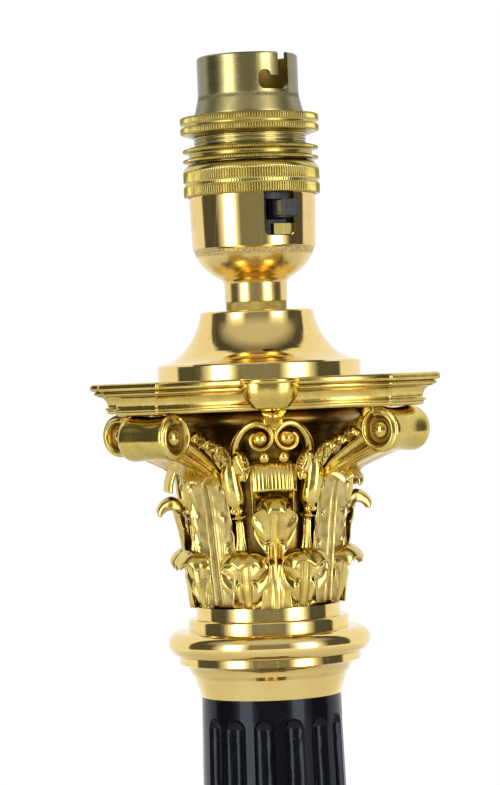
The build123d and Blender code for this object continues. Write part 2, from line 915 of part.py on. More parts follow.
with BuildPart() as holder_cup:
    with BuildSketch(turning_plane(holder_z)):
        with BuildLine():
            Polyline((0, 0), (neck_r, 0), (neck_r, neck_height))
            ThreePointArc(
                (neck_r, neck_height),
                (neck_r + (cup_bowl_r - neck_r) * cup_neck_bulge, (neck_height + cup_bowl_z) / 2),
                (cup_bowl_r, cup_bowl_z),
            )
            ThreePointArc(
                (cup_bowl_r, cup_bowl_z),
                (
                    cup_bowl_r + (cup_shoulder_r - cup_bowl_r) * cup_bowl_bulge[0],
                    cup_bowl_z + (cup_shoulder_z - cup_bowl_z) * cup_bowl_bulge[1],
                ),
                (cup_shoulder_r, cup_shoulder_z),
            )
            Polyline(
                (cup_shoulder_r, cup_shoulder_z),
                (cup_belt_r, cup_shoulder_z + cup_wall / 2),
                (cup_rim_r, cup_rim_z),
                (cup_thread_r, cup_rim_z),
                (cup_thread_r, cup_height),
                (0, cup_height),
                (0, 0),
            )
        make_face()
    revolve(axis=Axis.Z)
    offset(amount=-cup_wall, openings=holder_cup.faces().sort_by(Axis.Z)[-1])
    with BuildSketch(Plane.XY.offset(holder_z)):
        Circle(neck_r - cup_wall / 2)
    extrude(amount=neck_height)
    with BuildSketch(Plane.XY.offset(holder_z)):
        Circle(thread_hole_r)
    extrude(amount=cup_bowl_z, mode=Mode.SUBTRACT)
    # The switch bar comes out through two opposite windows.
    window_top = cap_ring_low + window_width / 4
    with BuildSketch(facing_plane(bar_azimuth, 0, holder_z)):
        with Locations((0, (window_low + window_top) / 2)):
            RectangleRounded(window_width, window_top - window_low, window_corner_r)
    extrude(amount=2 * cup_rim_r, both=True, mode=Mode.SUBTRACT)
    with BuildSketch(facing_plane(180, 0, holder_z)):
        with Locations((0, grub_z)):
            Circle(grub_r + thread_gap)
    extrude(amount=neck_r, mode=Mode.SUBTRACT)
save(holder_cup, "holder_cup")

with BuildPart() as grub_screw:
    with BuildSketch(facing_plane(180, thread_hole_r, holder_z)):
        with Locations((0, grub_z)):
            Circle(grub_r)
    extrude(amount=neck_r - thread_hole_r - slip)
    with BuildSketch(facing_plane(180, neck_r - slip, holder_z)):
        with Locations((0, grub_z)):
            Rectangle(2 * grub_r, grub_slot)
    extrude(amount=-grub_slot, mode=Mode.SUBTRACT)
save(grub_screw, "grub_screw")

with BuildPart() as cap_ring:
    with BuildSketch(turning_plane(holder_z + cap_ring_low)):
        with BuildLine():
            ring_bore = cup_thread_r + slip
            lip_bore = barrel_thread_r + slip
            groove_top = cap_ring_groove_low + cap_ring_groove
            dome_low = cap_ring_height - cap_ring_dome
            Polyline(
                (ring_bore, 0),
                (cap_ring_r - edge_r / 2, 0),
                (cap_ring_r, edge_r / 2),
                (cap_ring_r, cap_ring_groove_low),
                (cap_ring_groove_r, cap_ring_groove_low),
                (cap_ring_groove_r, groove_top),
                (cap_ring_r, groove_top),
                (cap_ring_r, dome_low),
            )
            ThreePointArc(
                (cap_ring_r, dome_low),
                (
                    cap_ring_r - (cap_ring_r - cap_ring_top_r) * cap_ring_dome_bulge[0],
                    dome_low + cap_ring_dome * cap_ring_dome_bulge[1],
                ),
                (cap_ring_top_r, cap_ring_height),
            )
            Polyline(
                (cap_ring_top_r, cap_ring_height),
                (lip_bore, cap_ring_height),
                (lip_bore, cap_ring_height - cap_ring_lip),
                (ring_bore, cap_ring_height - cap_ring_lip),
                (ring_bore, 0),
            )
        make_face()
    revolve(axis=Axis.Z)
save(cap_ring, "cap_ring")

# ---------------------------------------------------------------- moulded core of the lampholder
contact_axis = outward(contact_azimuth) * (contact_apart / 2)
core_top = core_z + core_rim + core_nose
contact_floor = holder_z + bar_z + bar_height / 2 + bar_gap + contact_floor_web
contact_top = core_top + contact_out
contact_low = contact_floor + spring_solid + contact_travel

with BuildPart() as holder_core:
    with BuildSketch(turning_plane(holder_z)):
        with BuildLine():
            skirt_z = cup_height - core_skirt
            skirt_r = cup_thread_r - cup_wall - slip
            rim_z = cup_height + core_rim
            Polyline(
                (0, core_block_low),
                (core_block_r, core_block_low),
                (core_block_r, skirt_z),
                (skirt_r, skirt_z),
                (skirt_r, cup_height),
                (cup_thread_r - slip, cup_height),
                (cup_thread_r - slip, rim_z),
                (core_nose_r, rim_z),
                (core_nose_r, rim_z + core_nose),
                (0, rim_z + core_nose),
                (0, core_block_low),
            )
        make_face()
    revolve(axis=Axis.Z)
    with BuildSketch(facing_plane(bar_azimuth, 0, holder_z)):
        with Locations((0, bar_z)):
            Rectangle(bar_width + 2 * bar_gap, bar_height + 2 * bar_gap)
    extrude(amount=cup_rim_r, both=True, mode=Mode.SUBTRACT)
    with BuildSketch(Plane.XY.offset(contact_floor)):
        with Locations(contact_axis, -contact_axis):
            Circle(contact_r + running)
    extrude(amount=core_top - contact_floor, mode=Mode.SUBTRACT)
save(holder_core, "holder_core")


def contact(centre):
    """A sprung brass contact with a domed head."""
    with BuildPart() as piece:
        with BuildSketch(Plane.XY.offset(contact_low)):
            with Locations(centre):
                Circle(contact_r)
        extrude(amount=contact_top - contact_low)
        fillet(piece.edges().group_by(Axis.Z)[-1], contact_head_round)
    return piece


def contact_spring(centre):
    """The space that a contact's coil spring fills under it."""
    with BuildPart() as piece:
        with BuildSketch(Plane.XY.offset(contact_floor)):
            with Locations(centre):
                Circle(spring_r)
                Circle(spring_bore_r, mode=Mode.SUBTRACT)
        extrude(amount=contact_low - contact_floor)
    return piece


save(contact(-contact_axis), "plunger_left")
save(contact(contact_axis), "plunger_right")
save(contact_spring(-contact_axis), "plunger_spring_left")
save(contact_spring(contact_axis), "plunger_spring_right")

terminal_azimuth = bar_azimuth + 90
with BuildPart() as terminals:
    for turn in (terminal_azimuth, terminal_azimuth + 180):
        with BuildSketch(facing_plane(turn, terminal_apart / 2, holder_z)):
            with Locations((0, core_block_low - terminal_drop / 2)):
                Rectangle(terminal_size, terminal_drop)
        extrude(amount=terminal_size / 2, both=True)
        with BuildSketch(facing_plane(turn, terminal_apart / 2, holder_z)):
            with Locations((0, core_block_low - terminal_drop / 2)):
                Circle(terminal_screw_r + thread_gap)
        extrude(amount=terminal_size / 2, mode=Mode.SUBTRACT)
save(terminals, "terminals")

with BuildPart() as terminal_screws:
    for turn in (terminal_azimuth, terminal_azimuth + 180):
        face = (terminal_apart + terminal_size) / 2
        with BuildSketch(facing_plane(turn, face, holder_z)):
            with Locations((0, core_block_low - terminal_drop / 2)):
                Circle(terminal_head_r)
        extrude(amount=terminal_head)
        with BuildSketch(facing_plane(turn, face, holder_z)):
            with Locations((0, core_block_low - terminal_drop / 2)):
                Circle(terminal_screw_r)
        extrude(amount=-terminal_size / 2)
save(terminal_screws, "terminal_screws")

with BuildPart() as switch_plate:
    with BuildSketch(facing_plane(plate_azimuth, core_block_r, holder_z)):
        with Locations((0, plate_low + plate_height / 2)):
            Rectangle(plate_width, plate_height)
    extrude(amount=plate_thickness)
save(switch_plate, "switch_plate")

with BuildPart() as push_bar:
    with BuildSketch(facing_plane(bar_azimuth, -bar_in, holder_z)):
        with Locations((0, bar_z)):
            RectangleRounded(bar_width, bar_height, bar_corner_r)
    extrude(amount=bar_in + bar_out)
    ends = push_bar.faces().sort_by(Axis(origin=(0, 0, 0), direction=outward(bar_azimuth)))
    fillet(ends[0].edges() + ends[-1].edges(), bar_corner_r / 2)
save(push_bar, "push_bar")

# ---------------------------------------------------------------- bayonet barrel
with BuildPart() as bayonet_barrel:
    with BuildSketch(turning_plane(barrel_z)):
        with BuildLine():
            step_at = barrel_length - barrel_bore_length
            Polyline(
                (barrel_wide_bore_r, 0),
                (barrel_foot_r, 0),
                (barrel_foot_r, barrel_flange),
                (barrel_thread_r, barrel_flange),
                (barrel_thread_r, barrel_thread_top),
                (barrel_flare_r, barrel_thread_top),
                (barrel_r, barrel_flare_top),
                (barrel_r, barrel_length - edge_r / 2),
                (barrel_r - edge_r / 2, barrel_length),
                (barrel_bore_r, barrel_length),
                (barrel_bore_r, step_at),
                (barrel_wide_bore_r, step_at),
                (barrel_wide_bore_r, 0),
            )
        make_face()
    revolve(axis=Axis.Z)
    # Two J slots: in from the rim, round, and up into a short pocket that holds the pin.
    run_z = slot_low + slot_width / 2
    for turn in (slot_entry_azimuth, slot_entry_azimuth + 180):
        with BuildSketch(facing_plane(turn, 0, barrel_z)):
            with Locations((0, (slot_low + barrel_length + slot_width) / 2)):
                RectangleRounded(
                    slot_width,
                    barrel_length + slot_width - slot_low,
                    slot_width / 2 - running,
                )
        extrude(amount=barrel_thread_r, mode=Mode.SUBTRACT)
        with BuildSketch(facing_plane(turn - slot_turn, 0, barrel_z)):
            with Locations((0, (slot_low + slot_pocket_top) / 2)):
                RectangleRounded(
                    slot_width, slot_pocket_top - slot_low, slot_width / 2 - running
                )
        extrude(amount=barrel_thread_r, mode=Mode.SUBTRACT)
        with BuildSketch(radial_plane(turn - slot_turn, barrel_z)):
            with Locations((barrel_r, run_z)):
                Rectangle(barrel_r / 2, slot_width)
        revolve(axis=Axis.Z, revolution_arc=slot_turn, mode=Mode.SUBTRACT)
save(bayonet_barrel, "bayonet_barrel")

# ---------------------------------------------------------------- shade rings
shade_bore = barrel_thread_r + running
shade_lower_z = holder_z + cap_ring_low + cap_ring_height + shade_lower_gap
with BuildPart() as shade_ring_lower:
    with BuildSketch(turning_plane(shade_lower_z)):
        with BuildLine():
            second = shade_flange_apart + shade_flange
            Polyline(
                (shade_bore, 0),
                (shade_lower_r, 0),
                (shade_lower_r, shade_flange),
                (shade_lower_groove_r, shade_flange),
                (shade_lower_groove_r, shade_flange_apart),
                (shade_lower_r, shade_flange_apart),
                (shade_lower_r, second),
                (shade_lower_top_r, shade_lower_height),
                (shade_bore, shade_lower_height),
                (shade_bore, 0),
            )
        make_face()
    revolve(axis=Axis.Z)
save(shade_ring_lower, "shade_ring_lower")

with BuildPart() as shade_ring_upper:
    with BuildSketch(turning_plane(barrel_z + shade_upper_z)):
        with BuildLine():
            groove_low = shade_upper_height - shade_upper_band_high - shade_upper_groove
            groove_high = groove_low + shade_upper_groove
            Polyline(
                (shade_bore, -shade_lip),
                (shade_lip_r, -shade_lip),
                (shade_lip_r, 0),
                (shade_upper_r - edge_r / 4, 0),
                (shade_upper_r, edge_r / 4),
                (shade_upper_r, groove_low),
                (shade_upper_groove_r, groove_low),
                (shade_upper_groove_r, groove_high),
                (shade_upper_r, groove_high),
                (shade_upper_r, shade_upper_height - edge_r / 4),
                (shade_upper_r - edge_r / 4, shade_upper_height),
                (shade_bore, shade_upper_height),
                (shade_bore, -shade_lip),
            )
        make_face()
    revolve(axis=Axis.Z)
save(shade_ring_upper, "shade_ring_upper")
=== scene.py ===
# %% [markdown]
# A column table lamp: a brass bayonet lampholder on a gilt Corinthian capital and a black fluted column.
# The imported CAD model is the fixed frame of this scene. It already stands in metres, with +Z up
# and the front of the lamp looking along -Y, so every piece made here is placed straight from it.

import json
import math
from functools import partialmethod

import bpy
import numpy as np
from mathutils import Matrix, Vector


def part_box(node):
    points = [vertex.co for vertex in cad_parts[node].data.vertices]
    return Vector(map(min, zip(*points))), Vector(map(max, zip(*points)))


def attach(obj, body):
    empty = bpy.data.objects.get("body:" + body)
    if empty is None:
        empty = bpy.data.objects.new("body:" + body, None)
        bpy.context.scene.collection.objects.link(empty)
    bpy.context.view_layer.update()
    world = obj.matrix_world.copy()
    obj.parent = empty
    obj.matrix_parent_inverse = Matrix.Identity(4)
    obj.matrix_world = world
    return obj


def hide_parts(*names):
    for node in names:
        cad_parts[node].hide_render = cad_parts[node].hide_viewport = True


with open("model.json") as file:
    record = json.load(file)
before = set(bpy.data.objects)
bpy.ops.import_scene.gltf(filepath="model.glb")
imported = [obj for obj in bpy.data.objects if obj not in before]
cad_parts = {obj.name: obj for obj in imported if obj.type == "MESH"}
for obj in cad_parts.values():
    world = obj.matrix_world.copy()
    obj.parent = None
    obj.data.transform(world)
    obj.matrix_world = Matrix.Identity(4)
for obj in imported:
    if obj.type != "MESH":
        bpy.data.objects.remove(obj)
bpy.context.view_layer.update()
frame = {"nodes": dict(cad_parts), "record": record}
MM = 0.001
TAU = 2 * math.pi
UP = Vector((0, 0, 1))
WHITE = (1, 1, 1)

# %% [markdown]
# The camera comes first, because everything else is judged through it. The photograph was taken
# from a little to the left of the lamp's front, level with the top of the capital, and the camera
# was rolled slightly, so the column leans in the picture. A long lens keeps the ellipses flat.

# %% Camera
CAMERA_TURN = math.radians(-5)  # round the lamp, from its front towards -X
CAMERA_ROLL = math.radians(2.243)
CAMERA_DISTANCE = 0.745
LENS = 136.7
AIM_ACROSS = -2.45 * MM  # from the axis to the picture's middle
AIM_DROP = 3.03 * MM
HORIZON_DROP = 0.4 * MM  # from the top of the abacus to the horizon


def level_way(turn):
    """The level direction at an angle round the lamp, counted from its front towards +X."""
    return Vector((math.sin(turn), -math.cos(turn), 0))


abacus_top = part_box("abacus")[1].z
horizon = abacus_top - HORIZON_DROP
camera_way = level_way(CAMERA_TURN)
station = camera_way * CAMERA_DISTANCE + UP * horizon
level_right = (-station).cross(UP).normalized()
target = level_right * AIM_ACROSS + UP * (horizon - AIM_DROP)
ahead = (target - station).normalized()
side = ahead.cross(UP).normalized()
above = side.cross(ahead)
right = side * math.cos(CAMERA_ROLL) - above * math.sin(CAMERA_ROLL)
upward = side * math.sin(CAMERA_ROLL) + above * math.cos(CAMERA_ROLL)
camera_data = bpy.data.cameras.new("photo_camera")
camera_data.lens = LENS
camera_data.clip_start = 0.05
camera_data.clip_end = 20
camera = bpy.data.objects.new("photo_camera", camera_data)
camera.matrix_world = Matrix.Translation(station) @ Matrix((right, upward, -ahead)).transposed().to_4x4()
bpy.context.scene.collection.objects.link(camera)
bpy.context.scene.camera = camera
bpy.context.scene.view_settings.view_transform = "Standard"
print("camera at", [round(x, 4) for x in station])


# %% [markdown]
# Node trees are written as arithmetic. `add_node` makes a shader node and gives back the output
# that is wanted, as a `Value`. Sums and products of values add Math nodes to the same tree.

# %% Node helpers


class Value:
    """An output socket that can be reckoned with."""

    def __init__(self, socket):
        self.socket = socket
        self.tree = socket.id_data

    def math(self, operation, other=0.0):
        """One Math node's value."""
        return add_node(self.tree, "Math", "Value", {0: self, 1: other}, operation=operation)

    __add__ = partialmethod(math, "ADD")
    __sub__ = partialmethod(math, "SUBTRACT")
    __mul__ = partialmethod(math, "MULTIPLY")
    __truediv__ = partialmethod(math, "DIVIDE")

    def remap(self, low, high, new_low=0.0, new_high=1.0):
        """This value taken from one range to another and kept inside it."""
        ends = {"From Min": low, "From Max": high, "To Min": new_low, "To Max": new_high}
        return add_node(self.tree, "MapRange", "Result", {"Value": self, **ends})


def add_node(tree, kind, wanted, inputs=None, **settings):
    """A shader node with its settings, and each input linked or set. It gives back the wanted
    output, or a list of them where wanted is a tuple."""
    made = tree.nodes.new("ShaderNode" + kind)
    for key, value in settings.items():
        setattr(made, key, value)
    for key, value in (inputs or {}).items():
        if isinstance(value, Value):
            tree.links.new(value.socket, made.inputs[key])
        else:
            made.inputs[key].default_value = value
    if isinstance(wanted, tuple):
        return [Value(made.outputs[name]) for name in wanted]
    return Value(made.outputs[wanted])


def mix(factor, *ends):
    """The first colour where factor is 0, the second where it is 1. Either may be a value."""
    first, second = (end if isinstance(end, Value) else (*end, 1) for end in ends)
    inputs = {"Factor": factor, "A": first, "B": second}
    return add_node(factor.tree, "Mix", "Result", inputs, data_type="RGBA")


def noise(place, scale, detail=2.0, rough=0.5):
    """Plain noise at a place, its features about 1 / scale metres across."""
    inputs = {"Vector": place, "Scale": scale, "Detail": detail, "Roughness": rough}
    return add_node(place.tree, "TexNoise", "Fac", inputs)


def place_of(tree):
    """Where the shaded point lies on the object, in metres."""
    return add_node(tree, "TexCoord", "Object")


def parts_of_place(tree):
    """The same place as x, y, z and the square of its distance from the lamp's axis."""
    x, y, z = add_node(tree, "SeparateXYZ", ("X", "Y", "Z"), {0: place_of(tree)})
    return x, y, z, x * x + y * y


print("node helpers ready")

# %% [markdown]
# Polished brass shows the room. In the photograph the room is a white sweep behind the lamp, a dim
# studio in front with a tall softbox on each side, and a pale ceiling over the front half that ends
# in a dark strip. The softboxes are two area lights. The world works out the rest from a ray's
# direction: how far round it points from the camera's side, how high, and how much towards it.

# %% Lights and world
BOX_TURN = math.radians(43.5)
BOX_WIDTH = 0.46
BOX_HEIGHT = 1.10
BOX_DISTANCE = 1.25
BOX_RADIANCE = 3.0
# degrees round from the camera's side, and how bright the studio is there
STUDIO = ((0, 0.27), (16, 0.26), (28, 0.22), (60, 0.14), (72, 0.10))
GLOW = 1.4  # of the diffusers round the softboxes
GLOW_RISE = (math.radians(23), math.radians(34))
GLOW_FALL = (math.radians(52), math.radians(70))
CEILING_RANGE = (-0.04, 0.30, 0.08, 0.66)  # from its far edge to over the camera, dark to pale
CEILING_EDGE = (0.42, 0.66)  # how high a ray points where the walls turn into the ceiling
SWEEP_EDGE = (-0.22, -0.28)  # how far a ray points away where the white sweep begins


def softbox(name, turn):
    """An upright area light at an angle from the camera's side, its foot at the floor."""
    light = bpy.data.lights.new(name, "AREA")
    light.shape = "RECTANGLE"
    light.size = BOX_WIDTH
    light.size_y = BOX_HEIGHT
    light.energy = BOX_RADIANCE * math.pi * BOX_WIDTH * BOX_HEIGHT
    lamp = bpy.data.objects.new(name, light)
    place = level_way(CAMERA_TURN + turn) * BOX_DISTANCE
    centre = place + UP * (BOX_HEIGHT / 2 + 0.01)
    lamp.matrix_world = Matrix.Translation(centre) @ place.to_track_quat("Z", "Y").to_matrix().to_4x4()
    bpy.context.scene.collection.objects.link(lamp)


softbox("softbox_left", -BOX_TURN)
softbox("softbox_right", BOX_TURN)

world = bpy.data.worlds.new("studio")
bpy.context.scene.world = world
world.use_nodes = True
sky = world.node_tree
ray_way = add_node(sky, "TexCoord", "Generated")


def share_along(way):
    """How much of a ray's direction points a given way."""
    return add_node(sky, "VectorMath", "Value", {0: ray_way, 1: way}, operation="DOT_PRODUCT")


toward = share_along(camera_way)
round_by = share_along(level_right).math("ABSOLUTE").math("ARCTAN2", toward)
studio = add_node(sky, "ValToRGB", "Color", {"Fac": round_by.remap(0.0, math.pi)})
marks = studio.socket.node.color_ramp.elements
while len(marks) < len(STUDIO):
    marks.new(0.5)
for mark, (degrees, grey) in zip(marks, STUDIO):
    mark.position = degrees / 180
    mark.color = (grey, grey, grey, 1)
walls = studio + round_by.remap(*GLOW_RISE, 0.0, GLOW) * round_by.remap(*GLOW_FALL, 1.0, 0.0)
front = mix(share_along(UP).remap(*CEILING_EDGE), walls, toward.remap(*CEILING_RANGE))
room = mix(toward.remap(*SWEEP_EDGE), front, WHITE)
seen = mix(add_node(sky, "LightPath", "Is Camera Ray"), room, WHITE)
sky.links.new(seen.socket, sky.nodes["Background"].inputs["Color"])
print("two softboxes and a studio world")


# %% [markdown]
# New pieces are surfaces worked out as whole arrays. A surface is a grid of points, rows by columns.
# `shell` closes a grid that wraps round on itself, such as a ring or a tube, and `slab` closes two
# grids that lie back to back, such as the face and the back of a leaf. Each point also carries a
# number, how deep it lies in the relief or how far it is in shade. The finishes read it as the
# attribute "recess" and paint it brown, as patina, dirt and painted shade.

# %% Helpers for surfaces


def smooth_step(x, low, high):
    """0 below low, 1 above high, and the cubic 3t^2 - 2t^3 between them."""
    t = np.clip((x - low) / (high - low), 0, 1)
    return t * t * (3 - 2 * t)


def bump(x, centre, width):
    """A bell-shaped rise: exp(-((x - centre) / width)^2)."""
    return np.exp(-(((x - centre) / width) ** 2))


def through(x, knots, values):
    """A smooth curve through values at knots: cubic Hermite spans, sloped by the neighbouring knots."""
    knots, values = np.array(knots, float), np.array(values, float)
    slopes = np.gradient(values, knots)
    i = np.clip(np.searchsorted(knots, x) - 1, 0, len(knots) - 2)
    span = knots[i + 1] - knots[i]
    t = np.clip((x - knots[i]) / span, 0, 1)
    rise = t * t * (3 - 2 * t)
    swing = t * (1 - t) * span * ((1 - t) * slopes[i] - t * slopes[i + 1])
    return values[i] * (1 - rise) + values[i + 1] * rise + swing


def turns_of(columns):
    """Evenly spaced angles round the axis, as one row."""
    return np.arange(columns)[None, :] * TAU / columns


def stack(*arrays):
    """Points from their coordinates, or rows of numbers from columns, which may broadcast."""
    return np.stack(np.broadcast_arrays(*arrays), axis=-1)


def around(radius, turn, height):
    """Points from cylinder coordinates: turn is counted from the front (-Y) towards +X."""
    return stack(radius * np.sin(turn), -radius * np.cos(turn), height)


def grid_faces(rows, columns, wrap_rows, wrap_columns):
    """Quads between neighbouring grid points, closed across the last one where wrap says so."""
    r = np.arange(rows if wrap_rows else rows - 1)
    c = np.arange(columns if wrap_columns else columns - 1)
    r, c = np.meshgrid(r, c, indexing="ij")
    r_next, c_next = (r + 1) % rows, (c + 1) % columns
    corners = (r * columns + c, r_next * columns + c, r_next * columns + c_next, r * columns + c_next)
    return stack(*corners).reshape(-1, 4)


def facing_out(vertices, recess, quads, triangles):
    """The same shell, its faces turned round if the volume that they enclose is negative."""
    fans = np.concatenate([quads[:, [0, 1, 2]], quads[:, [0, 2, 3]], triangles])
    a, b, c = np.moveaxis(vertices[fans], 1, 0)
    if np.einsum("ij,ij->i", a - vertices[0], np.cross(b - vertices[0], c - vertices[0])).sum() < 0:
        quads, triangles = quads[:, ::-1], triangles[:, ::-1]
    return vertices, recess, quads, triangles


def shell(points, recess=0.0, wrap_rows=False):
    """A closed surface from a grid whose rows are rings. The rows wrap round too, or else a fan of
    triangles closes each end row."""
    rows, columns = points.shape[:2]
    vertices = points.reshape(-1, 3)
    deep = np.broadcast_to(recess, points.shape[:2]).reshape(-1)
    triangles = np.zeros((0, 3), int)
    if not wrap_rows:
        ring = np.arange(columns)
        following = (ring + 1) % columns
        last = (rows - 1) * columns
        hub = len(vertices)
        fans = stack(hub, ring, following), stack(hub + 1, last + following, last + ring)
        triangles = np.concatenate(fans)
        vertices = np.concatenate([vertices, [points[0].mean(0), points[-1].mean(0)]])
        deep = np.concatenate([deep, [deep[:columns].mean(), deep[-columns:].mean()]])
    return facing_out(vertices, deep, grid_faces(rows, columns, wrap_rows, True), triangles)


def slab(face, back, face_recess, back_recess):
    """A closed skin from two grids that lie back to back, with a strip of quads round their border."""
    rows, columns = face.shape[:2]
    count = rows * columns
    quads = grid_faces(rows, columns, False, False)
    index = np.arange(count).reshape(rows, columns)
    border = np.concatenate([index[0], index[1:, -1], index[-1, -2::-1], index[-2:0:-1, 0]])
    following = np.roll(border, -1)
    strip = stack(border, following, following + count, border + count)
    deep = [np.broadcast_to(d, (rows, columns)).reshape(-1) for d in (face_recess, back_recess)]
    vertices = np.concatenate([face.reshape(-1, 3), back.reshape(-1, 3)])
    quads = np.concatenate([quads, quads[:, ::-1] + count, strip])
    return facing_out(vertices, np.concatenate(deep), quads, np.zeros((0, 3), int))


def turned(piece, turn):
    """The same shell turned about the lamp's axis."""
    c, s = math.cos(turn), math.sin(turn)
    x, y, z = piece[0].T
    return stack(x * c - y * s, x * s + y * c, z), *piece[1:]


def four_sides(parts, turn=0.0):
    """The same shells on all four sides of the lamp, starting at turn."""
    return [turned(part, turn + TAU * k / 4) for k in range(4) for part in parts]


def add_object(name, points, faces):
    """An object at the origin from points in millimetres."""
    mesh = bpy.data.meshes.new(name)
    mesh.from_pydata((points * MM).tolist(), [], faces)
    made = bpy.data.objects.new(name, mesh)
    bpy.context.scene.collection.objects.link(made)
    return made


def add_piece(name, shells, slot="gilt_brass", body="lamp", replaces=(), finish=None):
    """One smooth-shaded object from several shells, in millimetres, with its slot, body and finish,
    which is the slot's own unless another is named."""
    vertices, deep, polygons, start = [], [], [], 0
    for points, recess, quads, triangles in shells:
        vertices.append(points)
        deep.append(recess)
        polygons += (quads + start).tolist() + (triangles + start).tolist()
        start += len(points)
    piece = add_object(name, np.concatenate(vertices), polygons)
    attribute = piece.data.attributes.new("recess", "FLOAT", "POINT")
    attribute.data.foreach_set("value", np.concatenate(deep).astype(np.float32))
    piece.data.polygons.foreach_set("use_smooth", np.full(len(polygons), True))
    piece.data.materials.append(MATERIAL[finish or slot])
    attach(piece, body)
    if replaces:
        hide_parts(*replaces)
    print(f"{name}: {len(shells)} shells, {sum(len(p) - 2 for p in polygons)} triangles")


# %% [markdown]
# The finishes are procedural, on Object coordinates in metres, so a noise scale of 1000 gives
# features about a millimetre across. What several finishes share is a node group, built once: the
# marks that a lathe leaves round the axis, the patches where lacquer or tarnish is thicker,
# hairline scratches, and the skin of a casting.

# %% Shared groups


def shared(*labels):
    """Build a node group from the function below, with number inputs and one result. The function's
    name then stands for placing that group in a tree, with values for its inputs."""
    def with_group(build):
        group = bpy.data.node_groups.new(build.__name__, "ShaderNodeTree")
        for label in labels:
            group.interface.new_socket(label, in_out="INPUT", socket_type="NodeSocketFloat")
        group.interface.new_socket("Result", in_out="OUTPUT", socket_type="NodeSocketFloat")
        given = group.nodes.new("NodeGroupInput").outputs
        result = build(group, *(Value(given[label]) for label in labels))
        group.links.new(result.socket, group.nodes.new("NodeGroupOutput").inputs["Result"])
        print("shared group:", group.name)
        return lambda tree, *given: add_node(tree, "Group", 0, dict(enumerate(given)), node_tree=group)
    return with_group


@shared("Per metre")
def lathe_marks(tree, per_metre):
    """Marks round the axis: noise that changes fast along the profile and slowly round it."""
    x, y, z, square = parts_of_place(tree)
    radius = square.math("SQRT")
    along = (z + radius * 0.7) * per_metre
    place = {"X": x / radius * 1.2, "Y": y / radius * 1.2, "Z": along}
    return noise(add_node(tree, "CombineXYZ", "Vector", place), 1.0, 3.0, 0.65)


@shared("Scale", "Low", "High")
def patches(tree, scale, low, high):
    """Uneven patches: a broad noise broken up by a finer one."""
    place = place_of(tree)
    blend = noise(place, scale, 3.0, 0.6) * 0.7 + noise(place, scale * 6.0, 4.0, 0.7) * 0.3
    return blend.remap(low, high)


@shared("Scale", "Width")
def hairlines(tree, scale, width):
    """Hairline scratches: two slanted families of long cells, of which only the seams show."""
    lines = []
    for stretch, slant in (((1.0, 1.0, 0.06), 0.5), ((0.05, 1.0, 1.0), -0.7)):
        mapping = {"Vector": place_of(tree), "Scale": stretch, "Rotation": (slant, slant / 2, slant)}
        place = add_node(tree, "Mapping", "Vector", mapping)
        cells = {"Vector": place, "Scale": scale}
        seam = add_node(tree, "TexVoronoi", "Distance", cells, feature="DISTANCE_TO_EDGE")
        lines.append(seam.math("LESS_THAN", width) * noise(place, 45.0).remap(0.5, 0.6))
    return lines[0].math("MAXIMUM", lines[1])


@shared("Scale")
def casting_skin(tree, scale):
    """The skin of a polished casting: soft waves, a fine grain and a few pinholes."""
    place = place_of(tree)
    hole = add_node(tree, "TexVoronoi", "Distance", {"Vector": place, "Scale": scale * 1.3})
    skin = noise(place, scale * 0.4) * 0.7 + noise(place, scale * 3.0, 3.0, 0.7) * 0.3
    return skin - hole.remap(0.0, 0.16, 1.0, 0.0) * 0.3


# %% [markdown]
# A finish is a Principled shader with constants on its own sockets. Only what varies over the
# surface is linked: the colour, the roughness and the bump.

# %% Finish helpers
MATERIAL = {}


def recess_of(tree):
    """How deep the shaded point lies in the relief, which is 0 on the CAD nodes. The finishes paint shade
    and patina from it.
    """
    return add_node(tree, "Attribute", "Fac", attribute_name="recess")


def new_finish(name, metallic=1.0, **constants):
    """The node tree of a new finish, whose Principled shader has these constants."""
    material = MATERIAL[name] = bpy.data.materials.new(name)
    material.use_nodes = True
    shader = material.node_tree.nodes["Principled BSDF"].inputs
    shader["Metallic"].default_value = metallic
    for label, value in constants.items():
        shader[label.replace("_", " ")].default_value = value
    return material.node_tree


def link_finish(tree, colour, dull=None, height=None, distance=0.0):
    """Link what varies to the Principled shader: its colour, its roughness, and bump where a height
    of 1 stands distance metres proud."""
    normal = height and add_node(tree, "Bump", "Normal", {"Height": height, "Distance": distance})
    for label, value in (("Base Color", colour), ("Roughness", dull), ("Normal", normal)):
        if value:
            tree.links.new(value.socket, tree.nodes["Principled BSDF"].inputs[label])


print("finish helpers ready")


# %% [markdown]
# The casting is gilt brass, browned in its hollows, partly as patina and partly as painted shade, and its
# corner leaves are matt. The other brass is turned: polished on the column and the base, bright on the
# lampholder's cup, lacquered and more olive on its rings, and dullest on its barrel, which is painted grey
# where it is seen edge on, a painted reflection. A rough band round the cup and the barrel shows where
# the lathe's chuck held them.

# %% Brass finishes
# the brown of the casting's recesses: partly patina, partly painted shade
GILT_DIRT_AND_SHADE = (0.27, 0.16, 0.035)
# the brown of knurl valleys and thread roots, as dirt and painted shade, and of the barrel's bore, as
# painted shade
VALLEY_DIRT_AND_SHADE = (0.24, 0.16, 0.035)
# painted reflection: the grey that the barrel turns where it is seen edge on
PAINTED_EDGE_GREY = (0.17, 0.16, 0.13)
# the radius inside which the barrel's bore is painted dark, a painted shade
BORE_RADIUS = 0.01155
barrel_foot, barrel_top = (corner.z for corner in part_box("bayonet_barrel"))
cap_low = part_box("vase_cap")[0].z


